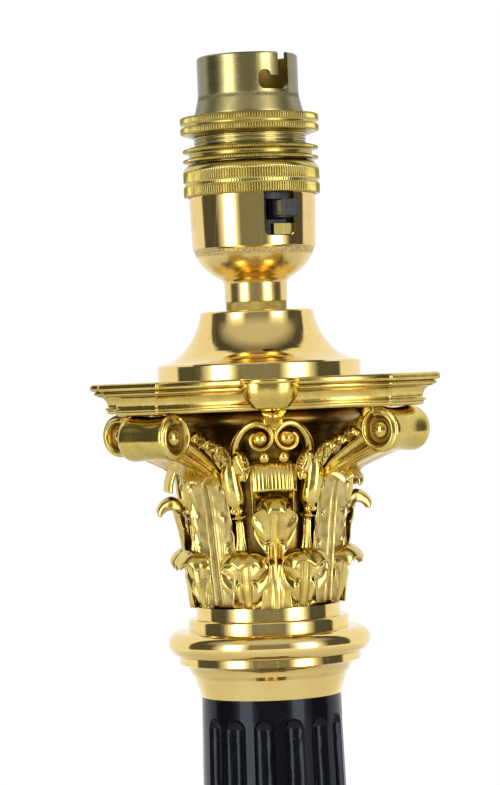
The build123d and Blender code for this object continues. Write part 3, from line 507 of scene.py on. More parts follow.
def gilt_finish(name, bright, tarnished, roughness, grain):
    """Cast and gilded: hollows go brown and dull, partly as patina and partly as painted shade, and raised
    edges are rubbed bright.
    """
    tree = new_finish(name)
    recess = recess_of(tree)
    patch = patches(tree, 160.0, 0.42, 0.6)
    # painted shade and patina: the higher the recess, the browner the gilt
    dirt_and_shade = (recess + patch * 0.12).remap(0.42, 1.0)
    dull = recess.remap(0.3, 1.0, *roughness) + patch * 0.05
    colour = mix(dirt_and_shade, mix(patch, bright, tarnished), GILT_DIRT_AND_SHADE)
    link_finish(tree, colour, dull, casting_skin(tree, 900.0), grain)


def turned_brass(name, bright, tarnished, roughness, marks, patch_range, bump_height, band=None, painted_edges_and_bore=False):
    """Brass off the lathe: marks round the axis, patches of tarnish and a few hairline scratches.
    The valleys of a knurl or a thread are brown and dull, as dirt and painted shade. On the barrel
    the colour is painted grey where it is seen edge on, a painted reflection, and the bore inside it
    is painted brown, a painted shade. A band is its height, half its width and its colour, and
    the skin below it is duller."""
    tree = new_finish(name)
    z, square = parts_of_place(tree)[2:]
    lines = lathe_marks(tree, marks)
    patch = patches(tree, 70.0, *patch_range)
    scratch = hairlines(tree, 150.0, 0.008)
    colour = mix(lines * 0.35, mix(patch, bright, tarnished), tarnished)
    hollow = recess_of(tree)
    if painted_edges_and_bore:
        # painted reflection: grey where the barrel is seen edge on
        edge_on = add_node(tree, "LayerWeight", "Facing", {"Blend": 0.5})
        colour = mix(edge_on.remap(0.3, 0.75), colour, PAINTED_EDGE_GREY)
        # painted shade: the bore inside the barrel is browned as if in shadow
        inside = square.math("LESS_THAN", BORE_RADIUS**2) * z.math("GREATER_THAN", barrel_foot)
        hollow = hollow.math("MAXIMUM", inside)
    # dirt and painted shade in knurl valleys and thread roots, only painted shade in the bore
    colour = mix(hollow, colour, VALLEY_DIRT_AND_SHADE)
    dull = lines.remap(0.3, 0.7, *roughness) + patch * 0.06 + scratch * 0.12 + hollow * 0.15
    if band:
        middle, half, scuff = band
        in_band = (z - middle).math("ABSOLUTE").remap(0.7 * half, 1.3 * half, 1.0, 0.0)
        below = z.remap(middle, middle + 1.4 * MM, 1.0, 0.0)
        colour = mix(in_band * noise(place_of(tree), 2600.0, 3.0).remap(0.35, 0.65), colour, scuff)
        dull = dull + in_band * 0.16 + below * 0.12
    link_finish(tree, colour, dull, lines - scratch * 0.4, bump_height)


gilt_finish("gilt_brass", (0.75, 0.58, 0.17), (0.62, 0.45, 0.11), (0.11, 0.34), 5.5e-5)
gilt_finish("matt_gilt", (0.66, 0.53, 0.20), (0.54, 0.41, 0.13), (0.25, 0.42), 6.0e-5)
CUP_BAND = (cap_low + 31.6 * MM, 0.85 * MM, (0.34, 0.24, 0.10))
BARREL_BAND = (barrel_top - 10.4 * MM, 0.5 * MM, (0.16, 0.13, 0.07))
for brass in (  # bright, tarnished, range of roughness, marks per metre, patches, height of the marks
    ("polished_brass", (0.90, 0.69, 0.27), (0.80, 0.57, 0.17), (0.05, 0.11), 2600.0, (0.45, 0.75), 1.2e-6),
    ("base_brass", (0.90, 0.68, 0.28), (0.82, 0.57, 0.19), (0.07, 0.14), 2200.0, (0.42, 0.70), 1.4e-6),
    ("holder_brass", (0.72, 0.60, 0.19), (0.50, 0.40, 0.10), (0.10, 0.18), 5200.0, (0.40, 0.66), 3.0e-6),
    ("barrel_brass", (0.52, 0.45, 0.20), (0.34, 0.29, 0.12), (0.15, 0.26), 5200.0, (0.38, 0.64), 3.0e-6,
     BARREL_BAND, True),
    ("cup_brass", (0.86, 0.65, 0.26), (0.72, 0.51, 0.16), (0.05, 0.11), 3600.0, (0.46, 0.74), 1.0e-6,
     CUP_BAND),
):
    turned_brass(*brass)
print("brass finishes:", sorted(MATERIAL))


# %% [markdown]
# The shaft is wood under black lacquer: almost black, with the faint waves of brushed lacquer and
# dust along the flutes. The lampholder's core and push bar are black moulded plastic, satin and
# scuffed. Steel, iron and felt are on hidden pieces, but they show from below and in the hollow of
# the base.

# %% Other finishes


def lacquer_finish(name):
    """Black lacquer, brushed along the shaft, with dust in it."""
    tree = new_finish(name, 0.0, Specular_IOR_Level=0.22, Specular_Tint=(0.78, 0.88, 1.0, 1))
    place = place_of(tree)
    brushed = add_node(tree, "Mapping", "Vector", {"Vector": place, "Scale": (1.0, 1.0, 0.05)})
    streak = noise(brushed, 900.0, 4.0, 0.7)
    dust = noise(place, 2600.0).remap(0.66, 0.74)
    colour = mix(dust * 0.25, (0.004, 0.004, 0.006), (0.08, 0.08, 0.09))
    link_finish(tree, colour, streak.remap(0.35, 0.7, 0.07, 0.18) + dust * 0.2, streak, 6.0e-6)


def moulding_finish(name):
    """Moulded black plastic: a fine satin grain with greyed scuffs."""
    tree = new_finish(name, 0.0, Specular_IOR_Level=0.3)
    scuff = hairlines(tree, 420.0, 0.05)
    patch = patches(tree, 300.0, 0.45, 0.62)
    colour = mix(scuff, (0.005, 0.005, 0.007), (0.05, 0.05, 0.065))
    dull = patch.remap(0.0, 1.0, 0.24, 0.38) + scuff * 0.2
    link_finish(tree, colour, dull, noise(place_of(tree), 5000.0, 3.0), 4.0e-6)


def oxide_finish(name, bright, dark, roughness, bump_height):
    """Bare steel or cast iron: patches of oxide on a grained metal."""
    tree = new_finish(name)
    patch = patches(tree, 220.0, 0.42, 0.6)
    dull = patch.remap(0.0, 1.0, *roughness)
    link_finish(tree, mix(patch, bright, dark), dull, casting_skin(tree, 1400.0), bump_height)


def felt_finish(name):
    """Pressed wool felt: tangled fibres in two greens."""
    tree = new_finish(name, 0.0, Roughness=0.95, Sheen_Weight=0.3)
    place = place_of(tree)
    fibre = noise(place, 1800.0, 5.0, 0.8)
    tint = (fibre + noise(place, 240.0)).remap(0.75, 1.25)
    link_finish(tree, mix(tint, (0.012, 0.035, 0.018), (0.04, 0.09, 0.05)), None, fibre, 1.5e-4)


lacquer_finish("black_gloss")
moulding_finish("black_moulding")
oxide_finish("steel", (0.62, 0.61, 0.58), (0.36, 0.34, 0.31), (0.22, 0.42), 8.0e-6)
oxide_finish("iron", (0.16, 0.15, 0.14), (0.10, 0.06, 0.04), (0.45, 0.75), 6.0e-5)
felt_finish("felt")

OWN_FINISH = {"holder_cup": "cup_brass", "bayonet_barrel": "barrel_brass"}
for part in frame["record"]["subparts"]:
    cad_materials = frame["nodes"][part["node"]].data.materials
    cad_materials.clear()
    cad_materials.append(MATERIAL[OWN_FINISH.get(part["node"], part["material_slot"])])
print("finishes on", len(frame["nodes"]), "nodes")


# %% [markdown]
# The capital is a casting with three tiers of acanthus leaves round a plain bell. An acanthus leaf
# could be sculpted, but here it is written down: a middle line that leans out and then curls over,
# a width along that line, and a relief. The relief has a midrib, lobes cut into fingers along both
# sides, a drilled eye between neighbouring lobes, and a pipe that runs down from every eye. One
# function makes all the tiers, because they differ only in their middle line, width and relief.

# %% The leaf
CAPITAL_HEIGHT = 48.4
CAPITAL_TURN = math.radians(1.5)  # the casting isn't quite square to the lamp's front
capital_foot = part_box("abacus")[0].z / MM - CAPITAL_HEIGHT
cast_noise = np.random.default_rng(7)


def cast(radius, turn, height):
    """Points of the casting, whose heights are counted from its foot."""
    return around(radius, turn, capital_foot + height)


def spine(radius, height, lean, steps, rows):
    """A leaf's middle line. It starts at radius and height, leaning out by lean degrees, and each
    step is a length and the lean at its end. Lean 90 points outward and 180 points down."""
    marks = np.cumsum([0] + [length for length, _ in steps])
    along = np.linspace(0, marks[-1], rows)
    angle = np.interp(along, marks, np.radians([lean] + [end for _, end in steps]))
    middle = (angle[1:] + angle[:-1]) / 2
    out = radius + np.cumsum(np.append(0, np.sin(middle) * np.diff(along)))
    up = height + np.cumsum(np.append(0, np.cos(middle) * np.diff(along)))
    return along, out, up, angle


def wobble(s, v, size):
    """Low waves with random phases, as on a hand-finished casting."""
    total = 0
    for _ in range(5):
        a, b, phase = cast_noise.uniform(0.4, 1.8), cast_noise.uniform(1, 6), cast_noise.uniform(0, TAU)
        total = total + np.sin(a * s + b * v + phase)
    return total * size / 5


def leaf(path, turn, width, lobes, lobed, curl_at, columns=65, climb=1.7, cut=0.12, lobe_from=0.4,
         droop=2.5, inward=0.6, wave=0.0, midrib=0.5, pipe=0.4, swell=1.1, fine=0.0, hood_fine=0.0,
         fingers=0.05, thick=1.3, hood_thick=1.0, taper=0.0, flare=0.6):
    """A leaf as two grids back to back. Across it v runs from -1 to 1, and along it s follows the
    middle line. A point is the middle line at s, moved b = v * width(s) round the lamp and lifted
    along the normal by the relief. Lobes are swellings that follow s - climb * |b|, so they point up
    and outward. Past curl_at, on the hood, the sides droop and draw in, the rim hangs in a wave, and
    the hood thins by the share taper. At the border, face and back close on their mean."""
    along, out, up, angle = path
    s = along[:, None]
    v = np.linspace(-1, 1, columns)[None, :]
    side = np.abs(v)
    half = through(s, *width)
    hood = smooth_step(s, curl_at - 0.6, curl_at + 1.2)
    body = 1 - hood
    to_rim = np.clip((s - curl_at) / (along[-1] - curl_at), 0, 1)
    first, last = lobed
    pitch = (last - first) / max(lobes, 1)
    lobe = (s - first - climb * half * (side**1.5 - lobe_from**1.5)) / pitch
    within = smooth_step(lobe, -0.2, 0.2) * (1 - smooth_step(lobe, lobes - 0.2, lobes + 0.3)) * (lobes > 0)
    share = lobe - np.floor(lobe)
    outer = smooth_step(side, lobe_from - 0.15, lobe_from + 0.35)
    notch = bump(np.minimum(share, 1 - share), 0, 0.13) * within
    b = v * half * (1 - cut * notch * side**2)
    relief = midrib * (bump(b, 0, 0.5) - 0.6 * bump(np.abs(b), 1.1, 0.45))
    for k in range(lobes):
        eye_s = first + pitch * k
        eye_b = lobe_from * through(np.array([[eye_s]]), *width)[0, 0] * (1.06 - 0.3 * k / lobes)
        centre = eye_b * (0.6 + 0.4 * smooth_step(s, 0, eye_s + 0.5))
        run = bump(np.abs(b), centre, 0.45) * (1 - smooth_step(s, eye_s - 0.4, eye_s + 0.8))
        relief = relief + pipe * run - 0.7 * bump(np.abs(b), eye_b, 0.42) * bump(s, eye_s + 0.6, 0.5)
    relief = relief + within * outer * swell * (np.sin(np.pi * share) ** 0.6 - 0.6)
    relief = relief + fingers * np.cos(2 * TAU * share) * within * outer * side - 0.3 * notch * outer
    relief = relief + fine * np.cos(TAU * b / 0.62) * (0.6 + 0.4 * np.sin(1.3 * s + 3 * v))
    relief = (relief + flare * side**4) * (1 - 0.85 * hood) + wobble(s, v, 0.1)
    sag = side**2.3 * smooth_step(s, curl_at - 5, curl_at + 0.5)
    hang = to_rim**1.5 * (bump(v, 0.05, 0.3) - 0.5 * bump(side, 0.8, 0.25))
    out_here = out[:, None] - inward * sag
    up_here = up[:, None] - droop * sag - wave * hang
    behind = thick * (1 - 0.75 * side**4) * body + hood_thick * hood * (1 - taper * to_rim)
    back = np.minimum(relief, 0.3) * body - behind - hood * hood_fine * np.cos(TAU * b / 0.9)
    border = np.clip(np.maximum((s - along[-1] + 0.7) / 0.7, (side - 0.86) / 0.14), 0, 0.99)
    middle, reach = (relief + back) / 2, (relief - back) / 2 * np.sqrt(1 - border**2)
    normal_out, normal_up = np.cos(angle)[:, None], -np.sin(angle)[:, None]
    sheets = []
    for lift in (middle + reach, middle - reach):
        distance = out_here + normal_out * lift
        at = turn + CAPITAL_TURN + b / distance
        sheets.append(cast(distance, at, up_here + normal_up * lift))
    # painted shade: low relief, the foot against the bell and the underside of the hood are darkened, and so
    # is the back of the body, but not the top of the hood
    shade = np.clip(0.42 - 0.75 * relief, 0, 1) * body + 0.6 * hood
    return slab(*sheets, np.clip(shade + 0.5 * bump(s, 0, 1.0), 0, 1), 0.9 - 0.85 * hood)


print("capital from", round(capital_foot, 2), "mm up")


# %% [markdown]
# The lowest tier has eight broad leaves that stand free at their tips. Their overturned tips are
# smooth and catch a deep gold reflection, and their bodies are fluted like a bundle of pipes.

# %% Lower leaves
lower_path = spine(17.4, 0.0, 45, [(1.4, 22), (6.0, 10), (6.3, 5), (0.8, 80), (0.7, 114), (2.5, 150),
                                   (0.9, 140)], 128)
lower_width = ([0, 2, 5, 9, 13, 15.5, 17, 19.0], [3.6, 5.0, 6.1, 6.5, 6.5, 6.2, 5.8, 5.0])
lower_leaves = [leaf(lower_path, TAU * (k + 0.5) / 8, lower_width, 2, (0.6, 12.6), 13.6, climb=0.9,
                     droop=2.6, wave=1.6, inward=1.4, flare=0.2, cut=0.05, hood_thick=1.1, columns=47)
                for k in range(8)]
add_piece("lower_leaves", lower_leaves, replaces=["capital_bell"])

# %% [markdown]
# Between them rise the four leaves of the faces, narrow as a rib at first, then spreading, with a
# small tongue turned over at the top. Above each tongue a plain leaf folds forward: its back shows
# as a band of fine upright ribs. The corner leaves are the tallest, matt and finely scored.

# %% Upper leaves
upper_path = spine(18.9, 0.0, 8, [(10, 4), (5, 9), (10.2, 17), (0.8, 80), (1.2, 108), (1.9, 140),
                                  (0.7, 150)], 170)
upper_width = ([0, 4, 8, 11, 13.5, 17, 21, 23.6, 24.9, 26.0, 27.2, 29.8],
               [4.0, 3.4, 2.2, 1.8, 2.6, 4.6, 5.6, 5.7, 5.3, 3.6, 2.9, 2.2])
fold_path = spine(17.9, 22.9, 10, [(12.2, 16), (1.4, 92), (1.2, 150), (5.6, 176), (0.7, 185)], 140)
fold_width = ([0, 8, 12, 21.1], [5.2, 5.6, 5.7, 5.5])
corner_path = spine(18.8, 1.0, 8, [(14.5, 6), (10, 10), (8.2, 24), (0.9, 85), (1.1, 110), (3.2, 136),
                                   (0.9, 124)], 180)
corner_width = ([0, 6, 12, 21, 28, 31.5, 33.5, 38.2], [4.2, 5.6, 6.4, 6.4, 5.8, 5.2, 4.6, 3.9])
upper_leaves, fold_leaves, corner_leaves = [], [], []
for face in (0, TAU / 4, TAU / 2, TAU * 3 / 4):
    upper_leaves.append(leaf(upper_path, face, upper_width, 2, (11.0, 20.6), 25.0, droop=1.2, inward=0.5,
                             wave=0.3, climb=1.2, cut=0.07, lobe_from=0.5, swell=0.7, flare=0.5,
                             hood_thick=3.0, taper=0.7))
    fold_leaves.append(leaf(fold_path, face, fold_width, 0, (1, 2), 12.2, droop=0.3, inward=0.5,
                            midrib=0.0, hood_fine=0.055, hood_thick=0.7, flare=2.0))
    corner_leaves.append(leaf(corner_path, face + TAU / 8, corner_width, 3, (7, 29.5), 32.6, droop=1.7,
                              inward=1.4, lobe_from=0.7, midrib=-0.55, pipe=0.0, fine=0.05,
                              hood_fine=0.04, fingers=0.12, wave=0.5, hood_thick=1.2))
add_piece("upper_leaves", upper_leaves)
add_piece("fold_leaves", fold_leaves)
add_piece("corner_leaves", corner_leaves, finish="matt_gilt")


# %% [markdown]
# Behind the leaves is the bell, a plain turned form that flares to a lip under the abacus. Stalks,
# buds, beads and scroll bands are all a section carried along a line, so one function sweeps them:
# it needs the line, which way is sideways, and the section's half width and half height.

# %% The bell and the sweep
BELL_PROFILE = [(17.0, 0.2), (17.6, 10), (17.8, 22), (18.2, 32), (19.4, 38), (21.6, 42.5), (23.4, 44.6),
                (24.6, 45.4), (24.9, 46.4), (24.3, 47.4), (23.0, 48.3)]
ACROSS = (1.0, 0.0, 0.0)  # sideways, for what stands in the front's middle plane


def bell():
    """The profile turned about the lamp's axis, with rows spaced evenly along it."""
    profile = np.array(BELL_PROFILE)
    marks = np.cumsum(np.append(0, np.hypot(*np.diff(profile, axis=0).T)))
    at = np.linspace(0, marks[-1], 90)
    radius, height = (np.interp(at, marks, profile[:, k])[:, None] for k in (0, 1))
    # painted shade: the bell stands behind the leaves and is darkened all over
    return shell(cast(radius, turns_of(192), height), 0.92)


def sweep(line, sideways, half_width, half_height, square=1.0, columns=24, relief=None, recess=0.3):
    """A closed bar along a line of points. Its section is a rounded rectangle: the cosine and the
    sine of an angle to the power square, times half_width sideways and half_height the other way.
    relief(along, angle) is added to both, along running from 0 to 1."""
    rows = len(line)
    tangent = np.gradient(line, axis=0)
    tangent /= np.linalg.norm(tangent, axis=1, keepdims=True)
    across = np.array(sideways) - (np.array(sideways) * tangent).sum(1, keepdims=True) * tangent
    across /= np.linalg.norm(across, axis=1, keepdims=True)
    upward = np.cross(tangent, across)
    angle = turns_of(columns)
    extra = relief(np.linspace(0, 1, rows)[:, None], angle) if relief else 0
    points = line[:, None]
    for part, half, way in ((np.cos(angle), half_width, across), (np.sin(angle), half_height, upward)):
        reach = np.sign(part) * np.abs(part) ** square * (np.broadcast_to(half, rows)[:, None] + extra)
        points = points + reach[..., None] * way[:, None]
    return shell(points, recess)


def ball(out, turn, height, radius, stretch=1.0):
    """A bead, stretched upright by stretch, closed at its poles."""
    tilt = np.linspace(0.02, math.pi - 0.02, 14)
    line = cast(out, turn, height + radius * stretch * np.cos(tilt))
    half = radius * np.sin(tilt)
    return sweep(line, around(1.0, turn + math.pi / 2, 0.0), half, half, recess=0.1)


add_piece("bell", [bell()])

# %% [markdown]
# The stalks between the upper leaves end in a ring, two beads and a smooth oval cup. From each cup
# one band runs out to the corner scroll and another curls in to meet its mirror image over the
# middle of the face. The curl is a spiral: an angle, and a distance that shrinks round the eye.

# %% Stalks and inner scrolls
SCROLL_REACH = 22.5  # the radius at which distances across the face are measured
EYE_ACROSS = 2.95
EYE_UP = 41.6


def stalk(mirror):
    """The fluted stalk with its ring and beads, leaning out into its cup."""
    height = np.linspace(14.0, 36.5, 80)
    out = through(height, [14, 20, 25, 36.5], [19.6, 20.0, 20.4, 22.2])
    turn = mirror * np.radians(through(height, [14, 22, 26, 31, 36.5], [24.0, 24.6, 26.0, 28.0, 28.6]))
    half = through(height, [14, 16, 20, 22.0, 22.6, 23.2, 24.6, 25.9, 27.5, 31, 34.8, 36.5],
                   [1.7, 1.2, 0.95, 1.2, 2.0, 1.2, 1.3, 2.1, 2.45, 2.55, 2.1, 1.4])
    flutes = lambda along, angle: 0.13 * np.cos(8 * angle) * (1 - smooth_step(along, 0.3, 0.45))
    sideways = around(1.0, turn + math.pi / 2, 0.0)
    bead_turn = mirror * math.radians(25.2)
    beads = [ball(21.5, bead_turn + bead / 21.5, 24.2, 0.85) for bead in (-0.9, 0.9)]
    return [sweep(cast(out, turn, height), sideways, half, half, 1.0, 48, flutes)] + beads


def inner_scroll(mirror):
    """A scroll at the middle of a face: a band whose line is the eye plus reach(angle) at the angle,
    a blunt peg for the eye, and a bead."""
    angle = np.linspace(-58, 410, 140)
    reach = through(angle, [-58, 0, 90, 180, 270, 360, 410], [9.6, 5.3, 3.6, 2.55, 2.5, 2.0, 1.7])
    turn = mirror * (EYE_ACROSS + reach * np.cos(np.radians(angle))) / SCROLL_REACH
    height = EYE_UP + reach * np.sin(np.radians(angle))
    line = cast(through(angle, [-58, 0, 90, 410], [21.4, 23.0, 24.0, 24.3]), turn, height)
    depth = through(angle, [-58, 0, 90, 410], [1.4, 2.0, 2.5, 2.6])
    thin = through(angle, [-58, 0, 90, 180, 410], [1.35, 1.2, 1.1, 0.75, 0.55])
    steps = np.linspace(0, 1, 24)
    eye_line = cast(18 + 8.9 * steps, mirror * EYE_ACROSS / SCROLL_REACH, EYE_UP)
    eye_half = through(steps, [0, 0.7, 0.84, 0.93, 0.98, 1], [2.1, 2.1, 1.85, 1.3, 0.6, 0.03])
    return [sweep(line, around(1.0, turn, 0.0), depth, thin, 0.85, 28, recess=0.12),
            sweep(eye_line, UP, eye_half, eye_half, 1.0, 36, recess=0.08),
            ball(24.6, mirror * 2.35 / 24.6, 37.2, 1.35)]


def bud():
    """The bud that fills the gap over the two scrolls, under the boss of the abacus."""
    height = np.linspace(42.3, 48.3, 60)
    out = through(height, [42.3, 44, 46.5, 48.3], [23.6, 24.6, 26.2, 27.2])
    half = through(height, [42.3, 44.4, 46.2, 48.3], [0.5, 1.6, 1.9, 3.0])
    grooves = lambda along, angle: 0.16 * np.cos(7 * angle)
    core = sweep(cast(out, 0.0, height), ACROSS, half, half, 1.0, 42, grooves, 0.2)
    return [core] + [ball(25.6, mirror * 1.7 / 25.6, 45.6, 0.95, 1.5) for mirror in (-1, 1)]


HUSKS = (  # degrees round from the middle, foot radius, foot height, lean and size
    (20.0, 21.0, 31.5, 14, 0.85),
    (30.0, 22.4, 34.0, 30, 1.0),
    (32.0, 25.0, 37.0, 42, 0.9),
    (34.5, 28.5, 40.0, 52, 0.8),
)


def husk(mirror, degrees, out, up, lean, size):
    """A small leaf of the sheath round a cup, leaning towards a scroll."""
    steps = [(6 * size, lean + 10), (2.3 * size, lean + 40), (1.6 * size, 120), (1.2 * size, 165)]
    width = (np.array([0, 3, 6, 9, 11.3]) * size, np.array([1.0, 2.3, 2.5, 2.0, 1.1]) * size)
    return leaf(spine(out, up, lean, steps, 48), mirror * math.radians(degrees), width, 3,
                (2 * size, 8 * size), 8.6 * size, droop=0.8 * size, inward=0.3, midrib=0.25, pipe=0.2,
                thick=0.8, hood_thick=0.6, columns=27, cut=0.25, fingers=0.15)


face_parts = bud()
for mirror in (-1, 1):
    face_parts += stalk(mirror) + inner_scroll(mirror)
add_piece("stalks_and_inner_scrolls", four_sides(face_parts, CAPITAL_TURN))
add_piece("husks", four_sides([husk(mirror, *size) for size in HUSKS for mirror in (-1, 1)]))

# %% [markdown]
# The corner scrolls carry the horns of the abacus. Each is a level roll across the corner, with a
# stem that comes up from the stalks on both sides of the corner. On the roll's end faces a band
# winds in to a round eye that sits in a hollow. The stem's two edges are raised rims.

# %% Corner scrolls
ROLL_OUT = 41.4
ROLL_RADIUS = 5.4
ROLL_HALF = 6.8
ROLL_UP = 42.9
EYE_RADIUS = 2.3


def end_relief(distance, angle):
    """How far the roll's end face stands out: a winding band, a hollow beside it, and the eye."""
    band = ROLL_RADIUS - 0.6 - 0.95 * ((angle - 1.9) % TAU) / TAU
    height = 0.6 * bump(distance, band, 0.6) - 1.1 * smooth_step(band - distance, 0.3, 1.3)
    eye = np.sqrt(np.clip(EYE_RADIUS**2 - distance**2, 0, None))
    return np.maximum(height, eye - 1.6)


def roll():
    """The roll in the front's radial plane: two end faces in polar grids, joined by the rim."""
    angle = turns_of(120)
    inward = np.linspace(0.03, 1, 40)[:, None] * (ROLL_RADIUS - 0.35) + 0 * angle
    face = ROLL_HALF + end_relief(inward, angle)
    across = np.linspace(1, -1, 30)[:, None] + 0 * angle
    rim = ROLL_RADIUS - 0.3 * np.abs(across) ** 16 - 0.15 * np.cos(across * math.pi)
    distance = np.concatenate([inward, rim, inward[::-1]])
    x = np.concatenate([face, across * (ROLL_HALF + 0.1), -face[::-1]])
    # painted shade: the hollow beside the winding band is darkened
    hollow = np.clip(0.45 - (face - ROLL_HALF) * 0.6, 0, 1)
    deep = np.concatenate([hollow, 0.05 + 0 * across, hollow[::-1]])
    y = -(ROLL_OUT + distance * np.cos(angle))
    z = capital_foot + ROLL_UP + distance * np.sin(angle)
    return shell(stack(x, y, z), deep)


def stem_relief(along, angle):
    """Raised rims along both edges of the stem's side faces, two fine ridges and a channel."""
    edge = np.abs(np.sin(angle)) ** 0.62
    on_side = np.abs(np.cos(angle)) ** 0.3
    rims = 0.45 * bump(edge, 0.93, 0.10) + 0.22 * bump(edge, 0.66, 0.07) + 0.16 * bump(edge, 0.48, 0.06)
    return (rims - 0.9 * bump(edge, 0.15, 0.35) * smooth_step(along, 0.2, 0.9)) * on_side


def stem():
    """The stem of a corner scroll: smooth in front, with ridged side faces."""
    share = np.linspace(0, 1, 100)
    out, up, half, deep = (through(share, np.linspace(0, 1, 6), values) for values in (
        [17.8, 20.9, 24.4, 28.9, 34.2, 40.0],
        [26.5, 30.6, 33.8, 36.5, 39.2, 42.0],
        [3.6, 4.2, 4.7, 5.2, 5.7, 6.0],
        [1.4, 1.5, 1.8, 2.4, 3.1, 3.8],
    ))
    return sweep(cast(out, 0.0, up), ACROSS, half, deep, 0.62, 120, stem_relief, 0.25)


def under_leaf(turn):
    """The small scored leaf that turns up under the roll."""
    path = spine(25.0, 31.5, 52, [(4, 56), (4, 62), (1.2, 84), (0.9, 110)], 90)
    return leaf(path, turn, ([0, 4, 8, 10.1], [3.6, 4.0, 3.8, 3.0]), 0, (1, 7), 8.4, droop=0.4,
                fine=0.05, midrib=0.2, pipe=0.0, thick=0.8, hood_thick=0.8, columns=49)


to_corner = CAPITAL_TURN + TAU / 8
add_piece("corner_rolls", four_sides([roll()], to_corner))
under_leaves = [under_leaf(TAU * (k + 0.5) / 4) for k in range(4)]
add_piece("corner_stems", four_sides([stem()], to_corner) + under_leaves)


# %% [markdown]
# The abacus is a slab with four hollow sides and its horns cut off square. Its edge is moulded: a
# fillet, a bead and a hollow. Every point of the surface is outline minus inset times direction,
# where the moulding is a list of insets and drops, and each point of the outline has a mitred
# direction. Both are complex numbers in the plane, so that turning them is one product.

# %% Abacus
HORN_SIDE = 27.75
HORN_FRONT = 41.5
HOLLOW_MIDDLE = 29.0
SIDE_POINTS = 97
CHAMFER_POINTS = 25
depth = HORN_FRONT - HOLLOW_MIDDLE
hollow_radius = (HORN_SIDE**2 + depth**2) / (2 * depth)
swing = math.asin(HORN_SIDE / hollow_radius)


def abacus_outline():
    """The outline's points and directions, a side and a horn at a time. A direction is the normal
    plus a share of the tangent, which reaches the tangent of half the corner's angle at a corner."""
    beta = np.linspace(-swing, swing, SIDE_POINTS)
    side_tangent = np.exp(1j * beta)
    side_at = 1j * (HOLLOW_MIDDLE + hollow_radius * (1 - side_tangent))
    across = np.linspace(0, 1, CHAMFER_POINTS)[1:-1]
    cut_at = side_at[-1] * (1 - across) + complex(HORN_FRONT, HORN_SIDE) * across
    cut_normal, cut_tangent = (1 + 1j) * math.sqrt(0.5), (1 - 1j) * math.sqrt(0.5)
    mitre = math.tan(math.acos((1j * side_tangent[-1] * cut_tangent).real) / 2)
    side_way = side_tangent * (1j + (beta / swing) ** 5 * mitre)
    cut_way = cut_normal + (2 * across - 1) * mitre * cut_tangent
    quarters = np.exp(-0.5j * math.pi * np.arange(4))[:, None]
    return (np.append(*pair) * quarters for pair in ((side_at, cut_at), (side_way, cut_way)))


top = abacus_top / MM
arc = np.linspace(0, math.pi, 9)
quarter = np.linspace(0, math.pi / 2, 9)
MOULDING = np.concatenate([
    [(9.0, 0.0), (1.2, 0.0), (0.5, -0.06), (0.15, -0.25), (0.03, -0.6), (0.0, -1.0), (0.05, -1.5),
     (0.3, -1.75), (0.9, -1.85)],
    stack(1.15 - 0.5 * np.sin(arc), -2.42 + 0.52 * np.cos(arc)),
    [(1.35, -3.0), (1.35, -3.15)],
    stack(1.35 + 1.75 * np.sin(quarter), -3.2 - 2.9 * (1 - np.cos(quarter))),
    [(2.75, -6.15), (2.6, -6.3), (2.6, -6.7), (2.9, -6.85)],
    stack(2.9 + 0.7 * (1 - np.cos(quarter)), -6.9 - 0.95 * np.sin(quarter)),
    [(4.2, -7.9), (9.0, -7.9)],
])
inset, drop = MOULDING.T[:, :, None]
outline_at, inward_way = (line.reshape(1, -1) for line in abacus_outline())
plan = outline_at - inward_way * inset
# painted shade: the grooves of the moulding are darkened
groove = sum(bump(drop, height, width) for height, width in ((-1.88, 0.12), (-3.05, 0.2), (-6.85, 0.15)))


def boss():
    """The flower boss at the middle of a side: a smooth bowl under a fillet that steps forward."""
    turn = turns_of(98)
    down = np.linspace(0, math.pi / 2, 40)[:, None]
    flat = 7.1 * np.cos(down) ** 0.8 + 0.4 * bump(down, 1.1, 0.14)
    level = np.array([0.0, 0.35, 1.0, 1.35])[:, None]
    inset = np.array([0.35, 0.0, 0.0, 0.35])[:, None]
    parts = []
    for x, out, z, recess in (
        (flat, 29.3 + 0.62 * flat * np.cos(turn), top - 1.0 - 6.9 * np.sin(down) ** 0.9, 0.05),
        (7.6 - inset, 27.6 + (6.6 - inset) * np.cos(turn), top - 0.05 - level, 0.1),
    ):
        parts.append(shell(stack(x * np.sin(turn), -out, z), recess))
    return parts


abacus_shell = shell(stack(plan.real, -plan.imag, top + drop), np.clip(groove * 0.9, 0, 1))
add_piece("moulded_abacus", [abacus_shell] + four_sides(boss()), replaces=["abacus"])


# %% [markdown]
# The lampholder's rings and its lock nut are knurled. A ring is a closed section carried round the
# axis: each row of the section has a radius, a height above the horizon and a share of the tooth
# depth. Teeth are cut inward, so a ring keeps its outer size. The nut's diamonds come from two
# families of teeth that lean against each other.

